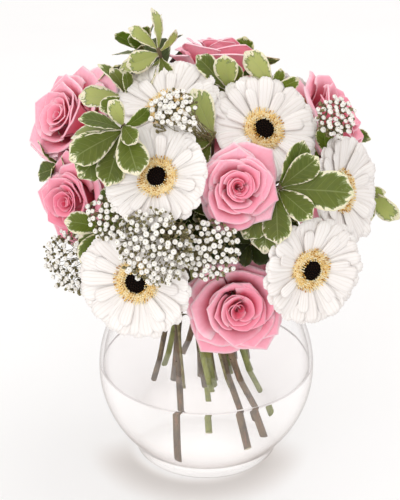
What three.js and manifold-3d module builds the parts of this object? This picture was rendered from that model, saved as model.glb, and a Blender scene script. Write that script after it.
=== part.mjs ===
// A round table bouquet in a glass bubble bowl: pink roses, white gerberas, gypsophila and
// variegated pittosporum, standing in water. Millimetres, +Z up, origin at the middle of the bowl's
// flat base. The side that faces -Y is the front.
import * as THREE from "three";
import { mergeVertices } from "three/addons/utils/BufferGeometryUtils.js";
import Module from "manifold-3d";

const wasm = await Module();
wasm.setup();

// ---- driving dimensions ----

const bowl = {
  radius: 100, // outside of the ball, a 200 mm bowl
  middle: 84, // height of the ball's middle
  wall: 3.4,
  baseRadius: 66,
  baseThickness: 7,
  height: 165,
  sides: 32,
};
const seat = 0.3; // gap that pieces keep where they touch
const waterLevel = 89;
const bundle = {
  tieHeight: 160, // the stems are tightest here, in the bowl's mouth
  tieRadius: 40,
  footHeight: 15,
  footScale: 1.9, // how far they fan out again at the floor
  twist: 40, // degrees they spiral through on the way down
  gap: 8, // least distance between two stems in the tie
};
const ballMiddle = 262; // height of the bouquet's middle

// Flower heads: the middle of the face, the way it faces (azimuth from the front, elevation), the
// head's radius, its turn about its own axis and its foot's height in the water.
const gerberas = [
  { at: [-37, -120, 318], face: [-18, 36], radius: 42, turn: 0, foot: 72 },
  { at: [44, -66, 337], face: [24, 38], radius: 45, turn: 7, foot: 70 },
  { at: [-31, -61, 352], face: [-20, 52], radius: 44, turn: 3, foot: 30 },
  { at: [-54, -130, 235], face: [-16, 6], radius: 47, turn: 12, foot: 74 },
  { at: [81, -116, 239], face: [27, 8], radius: 45, turn: 5, foot: 46 },
  { at: [108, -66, 285], face: [54, 16], radius: 46, turn: 9, foot: 64 },
  { at: [84, 96, 290], face: [136, 22], radius: 47, turn: 2, foot: 70 },
  { at: [-92, 80, 290], face: [-132, 16], radius: 46, turn: 11, foot: 66 },
];
const roses = [
  { at: [-126, 6, 325], face: [-50, 30], radius: 40, turn: 20, foot: 62 },
  { at: [-116, -58, 271], face: [-36, 12], radius: 32, turn: 75, foot: 17 },
  { at: [24, -131, 315], face: [8, 22], radius: 29, turn: 140, foot: 20 },
  { at: [26, -122, 206], face: [6, 10], radius: 40, turn: 200, foot: 36 },
  { at: [8, 14, 384], face: [170, 72], radius: 38, turn: 260, foot: 74 },
  { at: [116, 6, 328], face: [78, 34], radius: 38, turn: 310, foot: 68 },
  { at: [0, 118, 282], face: [178, 12], radius: 38, turn: 40, foot: 58 },
  { at: [112, 66, 240], face: [122, -2], radius: 36, turn: 100, foot: 76 },
];

// Leafy pittosporum branches: each stem forks to its rosettes of leaves, the first one in line with
// it. A rosette has the place of its tip, the way it faces, its leaves and their turn about it. It
// has their size where they are small, and the way its stem climbs where that isn't the way it faces.
const leafLength = 46;
const leafWidth = 25;
const pittosporum = [
  {
    foot: 60,
    tips: [
      { at: [-40, -28, 395], face: [-60, 74], leaves: 4, turn: 60, size: 0.9 },
      { at: [-66, -46, 362], face: [-50, 62], leaves: 4, turn: 200, size: 0.9 },
      { at: [-56, 44, 372], face: [-130, 50], leaves: 4, turn: 0 },
    ],
  },
  {
    foot: 74,
    tips: [
      { at: [54, -40, 367], face: [30, 60], leaves: 4, turn: 120, size: 0.8 },
      { at: [18, -48, 366], face: [5, 60], leaves: 4, turn: 40, size: 0.75 },
      { at: [30, 66, 346], face: [165, 50], leaves: 4, turn: 100 },
    ],
  },
  {
    foot: 40,
    tips: [
      { at: [57, -117, 309], face: [22, 20], leaves: 7, turn: 0 },
      { at: [98, -56, 314], face: [45, 30], leaves: 4, turn: 90, size: 0.8 },
      { at: [36, -108, 256], face: [14, 0], leaves: 4, turn: 30 },
    ],
  },
  {
    foot: 66,
    tips: [
      { at: [-64, -105, 356], face: [-30, 36], climb: [30, 60], leaves: 7, turn: 10 },
      { at: [-80, -106, 268], face: [-36, 0], leaves: 4, turn: 15 },
      { at: [6, -92, 342], face: [4, 60], climb: [40, 60], leaves: 2, turn: 90, size: 0.8 },
    ],
  },
  {
    foot: 62,
    tips: [
      { at: [142, 0, 262], face: [86, 6], leaves: 4, turn: 15 },
      { at: [116, 64, 292], face: [120, 20], leaves: 4, turn: 70 },
      { at: [60, 112, 262], face: [150, 4], leaves: 4, turn: 160 },
    ],
  },
  {
    foot: 56,
    tips: [
      { at: [-116, 46, 250], face: [-112, -4], leaves: 5, turn: 140 },
      { at: [-128, -2, 282], face: [-80, 8], leaves: 2, turn: 80 },
      { at: [-50, 116, 250], face: [-156, 0], leaves: 4, turn: 200 },
    ],
  },
];

// Gypsophila: each stem forks to its clouds of small florets on thread-like stalks. A cloud has its
// middle, the way it faces, its florets, how far they spread, how far behind it they fork and the
// way its stem climbs to that fork.
const floretRadius = 2.6;
const gypsophila = [
  {
    foot: 72,
    tips: [
      {
        at: [2, -152, 271], face: [-4, 0], climb: [0, 40],
        florets: 13, spread: 25, reach: 34, turn: 80,
      },
      {
        at: [-42, -161, 276], face: [-30, -8], climb: [-20, 40],
        florets: 12, spread: 25, reach: 46, turn: 0,
      },
    ],
  },
  {
    foot: 76,
    tips: [
      {
        at: [-114, -88, 228], face: [-50, -10], climb: [-50, 10],
        florets: 11, spread: 25, reach: 26, turn: 50,
      },
      {
        at: [-78, -134, 290], face: [-40, 10], climb: [-40, 30],
        florets: 6, spread: 17, reach: 24, turn: 20,
      },
    ],
  },
  {
    foot: 70,
    tips: [
      {
        at: [-28, -114, 368], face: [-62, 29], climb: [60, 60],
        florets: 8, spread: 17, reach: 46, turn: 30,
      },
      {
        at: [104, -73, 352], face: [46, 36], climb: [50, 50],
        florets: 8, spread: 17, reach: 20, turn: 70,
      },
    ],
  },
  {
    foot: 74,
    tips: [
      {
        at: [46, 126, 306], face: [160, 16], climb: [160, 40],
        florets: 7, spread: 20, reach: 20, turn: 60,
      },
      {
        at: [-54, 124, 296], face: [-156, 12], climb: [-150, 30],
        florets: 7, spread: 20, reach: 20, turn: 0,
      },
    ],
  },
];

// ---- vectors and placing ----

const degrees = THREE.MathUtils.degToRad;
const upward = new THREE.Vector3(0, 0, 1);

// The unit vector that an azimuth from the front and an elevation give.
function facing([azimuth, elevation]) {
  const a = degrees(azimuth);
  const e = degrees(elevation);
  return new THREE.Vector3(Math.sin(a) * Math.cos(e), -Math.cos(a) * Math.cos(e), Math.sin(e));
}

// A frame whose Z runs along a direction and whose Y leans as far up as it can, turned about Z.
function frameAt(origin, direction, turn = 0) {
  const z = direction.clone().normalize();
  const lean = Math.abs(z.z) > 0.98 ? new THREE.Vector3(0, 1, 0) : upward;
  const x = new THREE.Vector3().crossVectors(lean, z).normalize();
  const y = new THREE.Vector3().crossVectors(z, x);
  return new THREE.Matrix4()
    .makeBasis(x, y, z)
    .multiply(new THREE.Matrix4().makeRotationZ(degrees(turn)))
    .setPosition(origin);
}

// An even spread of numbers from 0 to 1 that is the same on every run.
function scatter(index, seed = 0) {
  const wave = Math.sin(index * 12.9898 + seed * 78.233) * 43758.5453;
  return wave - Math.floor(wave);
}

// ---- solids ----

// A closed solid of a geometry, with its doubled points merged and its faces out.
function solid(geometry) {
  const loose = geometry.index ? geometry.toNonIndexed() : geometry;
  const bare = new THREE.BufferGeometry().setAttribute("position", loose.getAttribute("position"));
  const merged = mergeVertices(bare, 1e-3);
  const corners = [];
  const index = merged.index.array;
  for (let i = 0; i < index.length; i += 3) {
    const [a, b, c] = index.slice(i, i + 3);
    if (a !== b && b !== c && c !== a) corners.push(a, b, c);
  }
  const vertProperties = merged.attributes.position.array;
  const build = (triVerts) =>
    new wasm.Manifold(new wasm.Mesh({ numProp: 3, vertProperties, triVerts }));
  const made = build(new Uint32Array(corners));
  return made.volume() > 0 ? made : build(new Uint32Array(corners.reverse()));
}

function join(pieces) {
  return wasm.Manifold.union(pieces);
}

const group = new THREE.Group();

// Adds a solid to the scene as a named mesh.
function show(name, shape, material) {
  const { vertProperties, triVerts } = shape.getMesh();
  const geometry = new THREE.BufferGeometry()
    .setAttribute("position", new THREE.BufferAttribute(new Float32Array(vertProperties), 3))
    .setIndex(new THREE.BufferAttribute(triVerts, 1));
  geometry.computeVertexNormals();
  const mesh = new THREE.Mesh(geometry, material);
  mesh.name = name;
  group.add(mesh);
}

function geometryOf(points, triangles) {
  return new THREE.BufferGeometry()
    .setAttribute("position", new THREE.Float32BufferAttribute(points.flatMap((p) => p.toArray()), 3))
    .setIndex(triangles);
}

// A skin over rings of equal length, closed at both ends.
function loft(rings) {
  const count = rings[0].length;
  const triangles = [];
  for (let r = 0; r + 1 < rings.length; r++)
    for (let k = 0; k < count; k++) {
      const a = r * count + k;
      const b = r * count + ((k + 1) % count);
      triangles.push(a, b, b + count, a, b + count, a + count);
    }
  const last = (rings.length - 1) * count;
  for (let k = 1; k + 1 < count; k++) {
    triangles.push(0, k + 1, k);
    triangles.push(last, last + k, last + k + 1);
  }
  return geometryOf(rings.flat(), triangles);
}

// A rod along points, with a radius at each.
function rod(points, radii, sides) {
  let across = new THREE.Vector3(1, 0, 0);
  const rings = points.map((p, i) => {
    const before = points[Math.max(i - 1, 0)];
    const after = points[Math.min(i + 1, points.length - 1)];
    const along = new THREE.Vector3().subVectors(after, before).normalize();
    across = across.clone().addScaledVector(along, -across.dot(along)).normalize();
    const side = new THREE.Vector3().crossVectors(along, across);
    return Array.from({ length: sides }, (_, k) => {
      const angle = (2 * Math.PI * k) / sides;
      return p
        .clone()
        .addScaledVector(across, radii[i] * Math.cos(angle))
        .addScaledVector(side, radii[i] * Math.sin(angle));
    });
  });
  return loft(rings);
}

// A thin blade over a grid of middle points, rows running from root to tip. Both faces are split
// alike, and a row whose points are all one point closes to an edge.
function blade(rows, thickness) {
  const columns = rows[0].length;
  const at = (r, c) =>
    rows[THREE.MathUtils.clamp(r, 0, rows.length - 1)][THREE.MathUtils.clamp(c, 0, columns - 1)];
  const middle = (r) => at(r, 0).clone().lerp(at(r, columns - 1), 0.5);
  const upper = [];
  const lower = [];
  rows.forEach((row, r) =>
    row.forEach((p, c) => {
      const pointed = row[0].distanceTo(row[columns - 1]) < 1e-3;
      const near = pointed ? Math.max(1, r - 1) : r;
      const [right, left] = pointed ? [columns - 1, 0] : [c + 1, c - 1];
      const across = new THREE.Vector3().subVectors(at(near, right), at(near, left));
      const [after, before] = [r + 1, r - 1].map((n) => (pointed ? middle(n) : at(n, c)));
      const normal = across.cross(after.clone().sub(before)).normalize();
      upper.push(p.clone().addScaledVector(normal, thickness / 2));
      lower.push(p.clone().addScaledVector(normal, -thickness / 2));
    }),
  );
  const triangles = [];
  const under = upper.length;
  const quad = (a, b, c, d) => triangles.push(a, b, c, a, c, d);
  for (let r = 0; r + 1 < rows.length; r++)
    for (let c = 0; c + 1 < columns; c++) {
      const a = r * columns + c;
      quad(a, a + 1, a + columns + 1, a + columns);
      triangles.push(under + a, under + a + columns + 1, under + a + 1);
      triangles.push(under + a, under + a + columns, under + a + columns + 1);
    }
  const rim = [];
  for (let c = 0; c + 1 < columns; c++) rim.push(c);
  for (let r = 0; r + 1 < rows.length; r++) rim.push(r * columns + columns - 1);
  for (let c = columns - 1; c > 0; c--) rim.push((rows.length - 1) * columns + c);
  for (let r = rows.length - 1; r > 0; r--) rim.push(r * columns);
  rim.forEach((a, i) => {
    const b = rim[(i + 1) % rim.length];
    quad(a, under + a, under + b, b);
  });
  return geometryOf([...upper, ...lower], triangles);
}

// A turned piece: the profile is [radius, height] pairs that start and end on the axis.
function turned(profile, sides) {
  const points = profile.map(([r, z]) => new THREE.Vector2(r, z));
  return new THREE.LatheGeometry(points, sides).rotateX(Math.PI / 2);
}

// ---- the bowl and its water ----

// Half the ball's outline between two heights, as [radius, height] pairs.
function ballArc(radius, from, to, steps) {
  return Array.from({ length: steps + 1 }, (_, i) => {
    const low = Math.asin((from - bowl.middle) / radius);
    const high = Math.asin((to - bowl.middle) / radius);
    const angle = low + ((high - low) * i) / steps;
    return [radius * Math.cos(angle), bowl.middle + radius * Math.sin(angle)];
  });
}

// The inside of the bowl from its floor to its rim, with a station at the water level.
function bowlInside() {
  const inner = bowl.radius - bowl.wall;
  const low = ballArc(inner, 17, waterLevel, 4);
  const high = ballArc(inner, waterLevel, bowl.height - 1.5, 2).slice(1);
  return [[0, bowl.baseThickness], [low[0][0] - 13, bowl.baseThickness + 1.5], ...low, ...high];
}

function bowlSolid() {
  const outside = ballArc(bowl.radius, 14, bowl.height - 1.5, 6);
  const inside = bowlInside().reverse();
  const rim = [[(outside.at(-1)[0] + inside[0][0]) / 2, bowl.height]];
  const foot = [[0, 0], [bowl.baseRadius, 0], [bowl.baseRadius + 3, 3]];
  return solid(turned([...foot, ...outside, ...rim, ...inside], bowl.sides));
}

// The water is the inside of the bowl drawn in towards the ball's middle, less its stems.
function waterSolid(holes) {
  const inner = bowl.radius - bowl.wall;
  const shrink = 1 - (seat + 0.1) / inner;
  const side = bowlInside()
    .filter(([, z]) => z <= waterLevel)
    .map(([r, z]) => [r * shrink, bowl.middle + (z - bowl.middle) * shrink]);
  return solid(turned([...side, [0, side.at(-1)[1]]], bowl.sides)).subtract(join(holes));
}

// ---- stems ----

// Where a direction from the bouquet's middle lands in the tied bundle, as seen from above.
function slotFor(at) {
  const out = new THREE.Vector3(at[0], at[1], at[2] - ballMiddle).normalize();
  const reach = bundle.tieRadius * Math.sqrt((1 - out.z) / 1.7);
  const flat = Math.hypot(out.x, out.y) || 1;
  return new THREE.Vector2((out.x / flat) * reach, (out.y / flat) * reach);
}

// Pushes crowded slots apart, a little at a time, until stems no longer touch.
function spreadApart(slots) {
  for (let round = 0; round < 200; round++)
    slots.forEach((a, i) =>
      slots.slice(i + 1).forEach((b) => {
        const apart = new THREE.Vector2().subVectors(b, a);
        const missing = bundle.gap - apart.length();
        if (missing > 0) {
          apart.setLength(missing / 2);
          a.sub(apart);
          b.add(apart);
        }
      }),
    );
}

// The straight run of a stem through the tie and down to its foot.
function lowerStem(slot, height) {
  const share = (height - bundle.footHeight) / (bundle.tieHeight - bundle.footHeight);
  const swing = degrees(bundle.twist);
  const real = bundle.footScale * Math.cos(swing) * (1 - share) + share;
  const turn = bundle.footScale * Math.sin(swing) * (1 - share);
  return new THREE.Vector3(slot.x * real - slot.y * turn, slot.x * turn + slot.y * real, height);
}

// The bent run from the tie to the back of a head.
function upperStem(slot, end, direction) {
  const start = lowerStem(slot, bundle.tieHeight);
  const climb = start.clone().sub(lowerStem(slot, bundle.tieHeight - 10)).normalize();
  const distance = start.distanceTo(end);
  const curve = new THREE.CubicBezierCurve3(
    start,
    start.clone().addScaledVector(climb, distance * 0.35),
    end.clone().addScaledVector(direction, -distance * 0.4),
    end,
  );
  return curve.getPoints(4);
}

// ---- flower parts, each about its own axis, +Z towards the eye of the flower ----

// Two rings of strap-shaped rays on one hub, as toothed sheets whose tips rise like a shallow dish.
function gerberaRays(radius, seed) {
  const count = 12;
  const hubRadius = radius * 0.37;
  const thick = 0.9;
  const points = [];
  // One face of a ring: the hub's corner, the notch before a ray, and the ray's blunt tip.
  const face = ({ reach, lift, rise, skew, drop }) => {
    const first = points.length;
    const place = (r, share, i, z) => {
      const angle = (2 * Math.PI * (i + share)) / count;
      points.push(new THREE.Vector3(r * Math.cos(angle), r * Math.sin(angle), z - drop));
    };
    for (let i = 0; i < count; i++) {
      const long = reach * (0.93 + 0.07 * scatter(i, seed + reach));
      const tip = lift + rise * (0.75 + 0.4 * scatter(i, seed + 1));
      place(hubRadius, 0, i, lift);
      place(reach * 0.76, skew, i, lift + rise * 0.6);
      place(long * 0.98, skew + 0.16, i, tip);
      place(long, skew + 0.76, i, tip);
    }
    return (i, k) => first + 4 * ((i + count) % count) + k;
  };
  const outer = { reach: radius, lift: 0, rise: 8, skew: 0.12 };
  const inner = { reach: radius * 0.78, lift: 2.6, rise: 8.5, skew: 0.62 };
  const [innerTop, innerBack] = [0, thick].map((drop) => face({ ...inner, drop }));
  const [outerTop, outerBack] = [0, thick].map((drop) => face({ ...outer, drop }));
  const centres = [inner.lift, -thick].map((z) => points.push(new THREE.Vector3(0, 0, z)) - 1);
  const triangles = [];
  const rays = (at, hubAt, i, flip) => {
    const [hub, notch, left, right] = [hubAt(i, 0), at(i, 1), at(i, 2), at(i, 3)];
    const [nextHub, nextNotch] = [hubAt(i + 1, 0), at(i + 1, 1)];
    const fan = [
      [hub, notch, left],
      [hub, left, right],
      [hub, right, nextHub],
      [nextHub, right, nextNotch],
    ];
    fan.forEach(([a, b, c]) => triangles.push(...(flip ? [a, c, b] : [a, b, c])));
  };
  const edge = (top, back, i) =>
    [[i, 1], [i, 2], [i, 3]].forEach(([n, k]) => {
      const [m, l] = k === 3 ? [i + 1, 1] : [n, k + 1];
      triangles.push(top(n, k), back(n, k), back(m, l), top(n, k), back(m, l), top(m, l));
    });
  for (let i = 0; i < count; i++) {
    triangles.push(centres[0], innerTop(i, 0), innerTop(i + 1, 0));
    rays(innerTop, innerTop, i, false);
    edge(innerTop, innerBack, i);
    rays(innerBack, outerTop, i, true);
    rays(outerTop, outerTop, i, false);
    edge(outerTop, outerBack, i);
    rays(outerBack, outerBack, i, true);
    triangles.push(centres[1], outerBack(i + 1, 0), outerBack(i, 0));
  }
  return solid(geometryOf(points, triangles));
}

// The ring of small gold florets, in bumps that stand up in turn.
function gerberaRing(radius) {
  const inner = radius * 0.19;
  const outer = radius * 0.36;
  const columns = 10;
  const rings = Array.from({ length: columns }, (_, k) => {
    const angle = (2 * Math.PI * k) / columns;
    const bump = k % 2 ? 1.4 : 0;
    return [[inner, 2.9], [outer, 3.2], [(inner + outer) / 2, 5.4 + bump]].map(
      ([r, z]) => new THREE.Vector3(r * Math.cos(angle), r * Math.sin(angle), z),
    );
  });
  const triangles = [];
  rings.forEach((_, k) => {
    for (let i = 0; i < 3; i++) {
      const a = 3 * k + i;
      const b = 3 * k + ((i + 1) % 3);
      const next = 3 * ((k + 1) % columns) - 3 * k;
      triangles.push(a, a + next, b + next, a, b + next, b);
    }
  });
  return solid(geometryOf(rings.flat(), triangles));
}

function gerberaEye(radius) {
  const r = radius * 0.19 - seat;
  return solid(turned([[0, 2.9], [r, 2.9], [r, 4.8], [0, 6]], 8));
}

// The green cup under a gerbera's rays.
const gerberaCup = [[0, -9], [2.6, -9], [10.5, -2.4], [10.5, -0.9 - seat], [0, -0.9 - seat]];

const bloomDepth = 0.95; // how far a bloom's base is behind its face, as a share of its radius

// The green cup under a rose's petals.
const roseCalyx = [[0, -9], [3, -9], [6, -4], [6, -seat], [0, -seat]];

// The cups of petals that nest in a bloom, from the outside in. Radii and heights are shares of the
// head's radius and height. Each petal laps over the next one, so it starts wide and ends narrow.
const roseCups = [
  { petals: 5, shift: 0, belly: [0.9, 0.34], rim: [1.0, 0.84], valley: [0.42, 0.22] },
  { petals: 5, shift: 1, belly: [0.56, 0.5], rim: [0.6, 0.96], valley: [0.25, 0.46] },
  { petals: 3, shift: 2, rim: [0.28, 1.0], valley: [0.08, 0.76] },
];

// A bloom as one skin that runs up and down its nested cups, from its base to its heart.
function roseBloom(radius) {
  const columns = 15;
  const height = radius * 1.12;
  const ring = ([out, up], petals = 0, shift = 0) =>
    Array.from({ length: columns }, (_, k) => {
      const wide = petals ? columns / petals : 1;
      const place = petals ? (2 * ((k + shift) % wide)) / (wide - 1) - 1 : 0;
      const angle = degrees((360 * k) / columns + 8 * place);
      const r = out * (1 - 0.08 * place);
      const z = up * height * (1 - 0.08 * place ** 2);
      return new THREE.Vector3(r * Math.cos(angle), r * Math.sin(angle), z);
    });
  const rings = [ring([7, 0])];
  roseCups.forEach(({ petals, shift, belly, rim, valley }) => {
    const put = ([r, z], grow = 0) => rings.push(ring([r * radius + grow, z], petals, shift));
    if (belly) put(belly);
    put(rim);
    put(rim, -1);
    rings.push(ring([valley[0] * radius, valley[1]]));
  });
  return solid(loft(rings));
}

// A leaf from its root along a direction: obovate with a blunt tip, and arched back.
function leafBlade(root, along, back, length, width) {
  const across = new THREE.Vector3().crossVectors(along, back).normalize();
  const lift = new THREE.Vector3().crossVectors(across, along).normalize();
  const rows = [[0, 0], [0.38, 0.36], [0.74, 0.5], [1, 0.24]].map(([share, half]) =>
    [-1, 1].map((side) =>
      root
        .clone()
        .addScaledVector(along, length * share)
        .addScaledVector(across, side * half * width)
        .addScaledVector(lift, -0.16 * length * share ** 2),
    ),
  );
  return solid(blade(rows, 0.8));
}

// A leaf of a rosette: the lower ones are longer and lie flatter, the upper ones young and steep.
function rosetteLeaf({ face, leaves, turn, size = 1 }, line, i, swing) {
  const axis = facing(face);
  const place = frameAt(new THREE.Vector3(), axis, turn);
  const old = (i + 0.5) / leaves;
  const around = degrees(137.5 * i + swing);
  const tilt = degrees(32 + 48 * old);
  const flat = new THREE.Vector3(Math.cos(around), Math.sin(around), 0).applyMatrix4(place);
  const along = axis.clone().multiplyScalar(Math.cos(tilt)).addScaledVector(flat, Math.sin(tilt));
  const [before, end] = line.slice(-2);
  const root = end.clone().add(before.clone().sub(end).setLength(1 + 9 * old));
  const grown = size * (0.7 + 0.3 * old + 0.1 * scatter(i, turn));
  return leafBlade(root, along, axis, leafLength * grown, leafWidth * grown);
}

// A floret of a cloud: a blunt bud-like solid on its own stalk, which leaves the stem a little below
// the one before.
function cloudFloret({ at, face, florets, spread, turn }, line, i) {
  const place = frameAt(new THREE.Vector3(...at), facing(face), turn);
  const [before, tip] = line.slice(-2);
  const root = tip.clone().add(before.clone().sub(tip).setLength(0.8 + 1.3 * i));
  const out = spread * Math.sqrt((i + 0.5) / florets);
  const around = degrees(137.5 * i);
  const height = -(out ** 2) / (3 * spread) + 7 * scatter(i, turn + 5) - 3;
  const end = new THREE.Vector3(out * Math.cos(around), out * Math.sin(around), height);
  end.applyMatrix4(place);
  const along = end.clone().sub(root).normalize();
  const [neck, belly] = [4.4, 1.6].map((back) => end.clone().addScaledVector(along, -back));
  return solid(rod([root, neck, belly, end], [0.5, 0.5, floretRadius, 0], 4));
}

// ---- materials ----

const paint = (color, roughness, extra = {}) =>
  new THREE.MeshStandardMaterial({ color, roughness, metalness: 0, ...extra });
const glass = paint(0xeef2f2, 0.05, { transparent: true, opacity: 0.3 });
const water = paint(0xf2f4f4, 0.02, { transparent: true, opacity: 0.25 });
const rosePink = paint(0xe8839f, 0.55);
const rayWhite = paint(0xf6f1ec, 0.6);
const floretGold = paint(0xd9b45a, 0.75);
const eyeBrown = paint(0x1a0d08, 0.8);
const stemGreen = paint(0x6d8a2e, 0.6);
const roseGreen = paint(0x4f5a34, 0.65);
const leafGreen = paint(0x7f9159, 0.55);
const gypsophilaWhite = paint(0xe9e8dc, 0.7);

// ---- stems in their places ----

// Each stem has its thickness and how far behind its head's middle it ends.
const stems = [
  ...gerberas.map((flower) => ({ ...flower, thick: 2.7, deep: 7 })),
  ...roses.map((flower) => ({ ...flower, thick: 3, deep: flower.radius * bloomDepth + 7 })),
  ...gypsophila.map(({ foot, tips }) => ({
    ...tips[0],
    foot,
    thick: 1.3,
    deep: tips[0].reach - 1,
  })),
  ...pittosporum.map(({ foot, tips }) => ({ ...tips[0], foot, thick: 2.5, deep: 1.5 })),
];
stems.forEach((stem) => (stem.slot = slotFor(stem.at)));
spreadApart(stems.map((stem) => stem.slot));

// The middle line of a stem from its foot to the back of its head.
function stemLine({ at, face, climb, deep, foot, slot }, grow = 0) {
  const end = new THREE.Vector3(...at).addScaledVector(facing(face), -deep);
  return [lowerStem(slot, foot - grow), ...upperStem(slot, end, facing(climb ?? face))];
}

function stemSolid(stem, grow = 0) {
  const points = stemLine(stem, grow);
  return solid(rod(points, points.map(() => stem.thick + grow), stem.thick < 2 ? 4 : 5));
}

// The middle line of a fork from partway up a stem to a further tip.
function forkLine(line, { at, face, climb, reach = 2.5 }) {
  const start = line[2];
  const rise = line[3].clone().sub(line[1]).normalize();
  const end = new THREE.Vector3(...at).addScaledVector(facing(face), 1 - reach);
  const distance = start.distanceTo(end);
  const curve = new THREE.CubicBezierCurve3(
    start,
    start.clone().addScaledVector(rise, distance * 0.3),
    end.clone().addScaledVector(facing(climb ?? face), -distance * 0.35),
    end,
  );
  return curve.getPoints(4);
}

// ---- room to grow ----

// Leaves and florets grow only where there is room for them, and a leaf may swing round to find it.
const leafSwings = [0, 22, -22, 44, -44];
const made = [];

function hasRoom(shape) {
  const near = shape.boundingBox();
  return made.every(({ shape: other, box }) => {
    const apart = [0, 1, 2].some((k) => near.min[k] - 1 > box.max[k] || box.min[k] > near.max[k] + 1);
    return apart || shape.minGap(other, 1) > seat;
  });
}

function keep(shape) {
  const entry = { shape, box: shape.boundingBox() };
  made.push(entry);
  return entry;
}

function make(name, shape, material) {
  keep(shape);
  show(name, shape, material);
}

// ---- building ----

gerberas.forEach((flower, i) => {
  const name = `gerbera_${i + 1}`;
  const place = frameAt(new THREE.Vector3(...flower.at), facing(flower.face), flower.turn);
  const put = (shape) => shape.transform(place.elements);
  make(`${name}_rays`, put(gerberaRays(flower.radius, i)), rayWhite);
  make(`${name}_ring`, put(gerberaRing(flower.radius)), floretGold);
  make(`${name}_eye`, put(gerberaEye(flower.radius)), eyeBrown);
  const cup = put(solid(turned(gerberaCup, 7)));
  make(`${name}_stem`, join([stemSolid(stems[i]), cup]), stemGreen);
});

roses.forEach((flower, i) => {
  const name = `rose_${i + 1}`;
  const direction = facing(flower.face);
  const base = new THREE.Vector3(...flower.at).addScaledVector(direction, -flower.radius * bloomDepth);
  const place = frameAt(base, direction, flower.turn);
  make(`${name}_bloom`, roseBloom(flower.radius).transform(place.elements), rosePink);
  const calyx = solid(turned(roseCalyx, 6)).transform(place.elements);
  make(`${name}_stem`, join([stemSolid(stems[gerberas.length + i]), calyx]), roseGreen);
});

// The bare stems of all branches are in place before any leaf or floret grows.
const branches = [...gypsophila, ...pittosporum].map(({ tips }, i) => {
  const stem = stems[gerberas.length + roses.length + i];
  const leafy = i >= gypsophila.length;
  const lead = stemLine(stem);
  const lines = [lead, ...tips.slice(1).map((tip) => forkLine(lead, tip))];
  const forks = lines.slice(1).map((points) =>
    solid(rod(points, points.map(() => (leafy ? 1.6 : 0.9)), 4)),
  );
  return { tips, lines, leafy, bare: keep(join([stemSolid(stem), ...forks])) };
});

branches.forEach(({ tips, lines, leafy, bare }, i) => {
  made.splice(made.indexOf(bare), 1);
  const grown = tips.flatMap((tip, t) =>
    Array.from({ length: leafy ? tip.leaves : tip.florets }, (_, k) =>
      leafy
        ? leafSwings.map((swing) => rosetteLeaf(tip, lines[t], k, swing)).find(hasRoom)
        : [cloudFloret(tip, lines[t], k)].find(hasRoom),
    ),
  );
  const name = leafy ? `pittosporum_${i + 1 - gypsophila.length}` : `gypsophila_${i + 1}`;
  make(name, join([bare.shape, ...grown.filter(Boolean)]), leafy ? leafGreen : gypsophilaWhite);
});

show("water", waterSolid(stems.map((stem) => stemSolid(stem, 0.45))), water);
show("bowl", bowlSolid(), glass);

export default group;
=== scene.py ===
import contextlib
import math

import bmesh
import bpy
from mathutils import Matrix, Vector


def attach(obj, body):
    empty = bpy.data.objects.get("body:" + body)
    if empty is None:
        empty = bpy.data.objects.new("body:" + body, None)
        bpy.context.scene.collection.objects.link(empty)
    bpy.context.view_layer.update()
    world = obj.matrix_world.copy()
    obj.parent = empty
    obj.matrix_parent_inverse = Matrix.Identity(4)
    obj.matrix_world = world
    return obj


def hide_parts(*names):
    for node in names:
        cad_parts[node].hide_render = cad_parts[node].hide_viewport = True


# The looks of a table bouquet in a glass bubble bowl, in metres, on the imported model's own frame.
# The side that faces -Y is the front. A head's face is (azimuth from the front, elevation) in degrees.

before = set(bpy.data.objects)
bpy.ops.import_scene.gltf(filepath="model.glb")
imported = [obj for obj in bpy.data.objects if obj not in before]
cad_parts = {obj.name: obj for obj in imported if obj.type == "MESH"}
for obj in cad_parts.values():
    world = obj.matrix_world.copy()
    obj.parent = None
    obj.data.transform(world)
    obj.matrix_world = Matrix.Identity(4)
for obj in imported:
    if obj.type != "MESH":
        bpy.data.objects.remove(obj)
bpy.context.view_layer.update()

# The camera and the lamps. The camera's view is how far it looks down and pans left in degrees, and
# its focal length in pixels of the photo, whose long side has 500.
view = {"place": (0, -0.955, 0.652), "down": 25.3, "pan": 0.35, "focal": 1180, "longSide": 500}
bpy.ops.object.camera_add(
    location=view["place"],
    rotation=(math.radians(90 - view["down"]), 0, math.radians(view["pan"])),
)
camera = bpy.context.object
camera.data.lens = view["focal"] / view["longSide"] * camera.data.sensor_width
bpy.context.scene.camera = camera
bpy.context.scene.view_settings.view_transform = "Standard"

lamps = {  # place, what it points at, size, watts
    "key": ((0.7, 0.5, 2.5), (0, 0, 0.2), 1.8, 13),
    "fill": ((-0.7, -2.0, 1.2), (0, 0, 0.25), 2.0, 20),
}
for lampName, (place, target, size, watts) in lamps.items():
    aim = (Vector(target) - Vector(place)).to_track_quat("-Z", "Y")
    bpy.ops.object.light_add(type="AREA", location=place, rotation=aim.to_euler())
    lamp = bpy.context.object
    lamp.name = lampName
    lamp.data.size = size
    lamp.data.energy = watts


def feed(tree, sockets, inputs):  # each input is another node's socket, a value or a colour
    for key, value in inputs.items():
        socket = sockets[key]
        if isinstance(value, bpy.types.NodeSocket):
            tree.links.new(value, socket)
        elif socket.type == "RGBA":
            socket.default_value = (*value, 1)
        else:
            socket.default_value = value


def add(tree, kind, inputs=None, **settings):
    made = tree.nodes.new("ShaderNode" + kind)
    for name, value in settings.items():
        setattr(made, name, value)
    feed(tree, made.inputs, inputs or {})
    return made


def maths(tree, operation, *values):
    return add(tree, "Math", dict(enumerate(values)), operation=operation).outputs[0]


def product(tree, first, second):
    return maths(tree, "MULTIPLY", first, second)


def blend(tree, share, low, high):
    return add(tree, "Mix", {0: share, 6: low, 7: high}, data_type="RGBA").outputs[2]


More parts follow.
